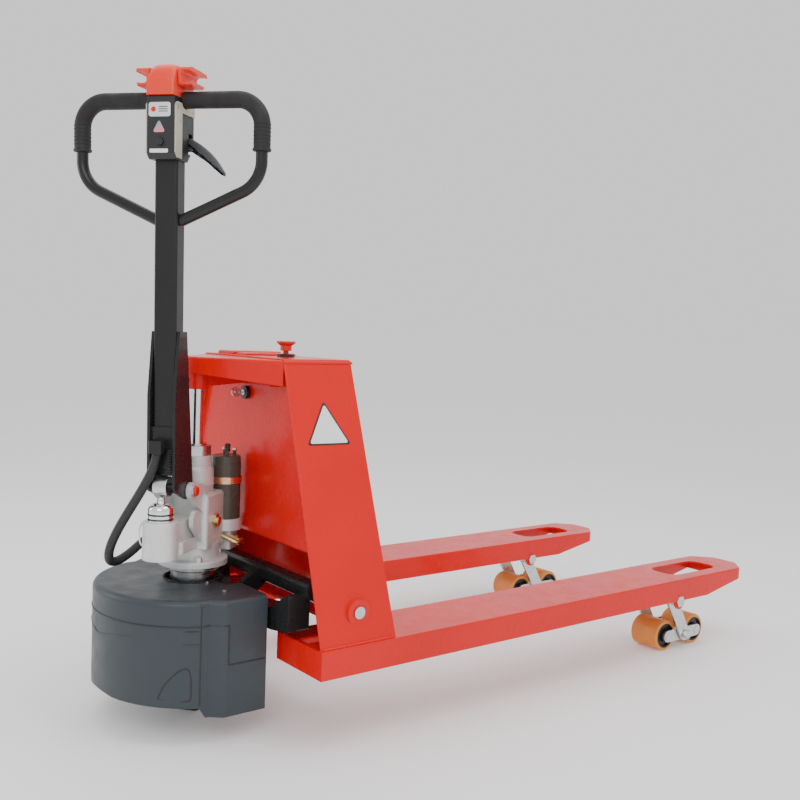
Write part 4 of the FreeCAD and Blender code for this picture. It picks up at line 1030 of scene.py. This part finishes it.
def seamLine():
    # along one side, up the step, round the front as an arc, and back down the other side
    s = coverSettings
    turn = np.radians(np.linspace(-s["frontTurn"], -360 + s["frontTurn"], 90))
    radius, high = s["frontRadius"], s["seam"]
    front = np.stack([radius * np.cos(turn), radius * np.sin(turn), np.full(90, high)], -1)
    side = -s["sideFace"]
    near = [(s["sideEnd"], side, s["step"]), (s["stepPlace"], side, s["step"]),
            (s["stepPlace"], side, high)]
    near += [(x, y, high) for x, y in s["corner"]]
    far = [(x, -y, z) for x, y, z in near[::-1]]
    return evenly(np.concatenate([near, front, far]), s["spacing"])[0]


def makeCoverLines():
    s = coverSettings
    dark = [tubed(seamLine(), s["seamWidth"], 10)]
    pale = []
    for sign in (1, -1):
        panel = smoothLine([onCover(sign * turn, z) for turn, z in s["panel"] + s["panel"][:1]], 10)
        dark.append(tubed(evenly(panel, s["spacing"])[0], s["lineWidth"], 10))
        # short black strip: painted shade in a groove
        start, end, z = s["shortGroove"]
        groove = np.array([onCover(sign * turn, z) for turn in np.linspace(start, end, 16)])
        dark.append(tapered(groove, s["lineWidth"], 0.35, 0.2))
        # black line down each flute: painted shade in the groove
        x, y = s["flute"]
        flute = np.array([[x, sign * y, z] for z in np.linspace(*s["fluteHeights"], 40)])
        dark.append(tubed(flute, 0.0015, 10))
        start, end, z = s["shortRib"]
        rib = np.array([onCover(sign * turn, z) for turn in np.linspace(start, end, 16)])
        pale.append(tapered(rib, s["ribWidth"], 0.35, 0.2))
        fold = smoothLine([onCover(sign * turn, z) for turn, z in s["fold"]], 12)
        pale.append(tapered(fold, s["foldWidth"], 0.25, 0.25))
    # black strips: seams and panel lines, with painted shade in the flutes and the short grooves
    belongs(gathered("coverSeams", stood(dark), 50.0), "base", "black_plastic")
    belongs(gathered("coverRibs", stood(pale), 50.0), "base", "grey_plastic")


# details on the frame

frameSettings = {
    # the box narrows evenly between these heights
    "boxHeights": (0.195, 0.724),
    "boxHalves": (0.3325, 0.170),
    "footBead": {"from": 0.104, "to": 0.274, "height": 0.1955, "radius": 0.0032, "out": 0.001},
    "frontBead": {"x": 0.1152, "low": 0.375, "high": 0.690, "radius": 0.0024, "in": 0.0072},
    "triangle": [(0.1324, 0.568), (0.2306, 0.567), (0.180, 0.649)],
}


def sideHalf(z):
    # half the box's width at a height
    return np.interp(z, frameSettings["boxHeights"], frameSettings["boxHalves"])


def bead(start, end, radius, pitch=0.0045):
    # weld bead: a tube whose radius swells and shrinks with each drop, with a slow drift
    line, along = evenly(np.array([start, end]), pitch / 5)
    wave = 0.16 * np.abs(np.sin(pi * along / pitch)) + 0.06 * np.sin(along * 61.0)
    ends = np.sqrt(np.clip(np.minimum(along, along[-1] - along) / 0.004, 0.02, 1))
    return tubed(line, radius * (0.86 + wave) * ends, 14)


def makeWelds():
    foot, front = frameSettings["footBead"], frameSettings["frontBead"]
    skins = []
    for side in (1, -1):
        y = side * (sideHalf(frameSettings["boxHeights"][0]) + foot["out"])
        start, end = [(x, y, foot["height"]) for x in (foot["from"], foot["to"])]
        skins.append(bead(start, end, foot["radius"]))
        start, end = [(front["x"], side * (sideHalf(z) - front["in"]), z)
                      for z in (front["low"], front["high"])]
        skins.append(bead(start, end, front["radius"]))
    belongs(gathered("weldBeads", stood(skins), 50.0), "frame", "red_paint")


def makeTriangleLabel():
    # warning triangle on the side plate: a dark edge under a white face
    low, high = frameSettings["boxHeights"]
    wide, narrow = frameSettings["boxHalves"]
    slope = np.array([0.0, (wide - narrow) / (high - low), 1.0])
    up = slope / np.linalg.norm(slope)
    corners = np.array(frameSettings["triangle"])
    middle = corners.mean(0)
    origin = steerPoint + np.array([middle[0], -sideHalf(middle[1]), middle[1]])
    flat = (corners - middle) * np.array([1.0, np.linalg.norm(slope)])
    dark = slab(roundedOutline(flat * 1.05, 0.008), 0.00005, 0.0005, origin, (1, 0, 0), up, 0.0001)
    belongs(gathered("labelEdge", [dark]), "frame", "black_plastic")
    pale = slab(roundedOutline(flat * 0.93, 0.007), 0.0003, 0.0008, origin, (1, 0, 0), up, 0.0001)
    white = stickerFinish("whiteLabel", (0.82, 0.82, 0.81), 0.4)
    belongs(gathered("labelFace", [pale]), "frame", "zinc", white)


conduit = makeConduit()
makeLever()
makePumpBolts()
makePumpTrim()
makePlunger()
makeHead()
makeFootSpring()
makeLabels()
makeGripCollars()
print("details of the steered parts made")
makeCoverLip()
makeCoverLines()
makeWelds()
makeTriangleLabel()
print("details of the cover and the frame made")
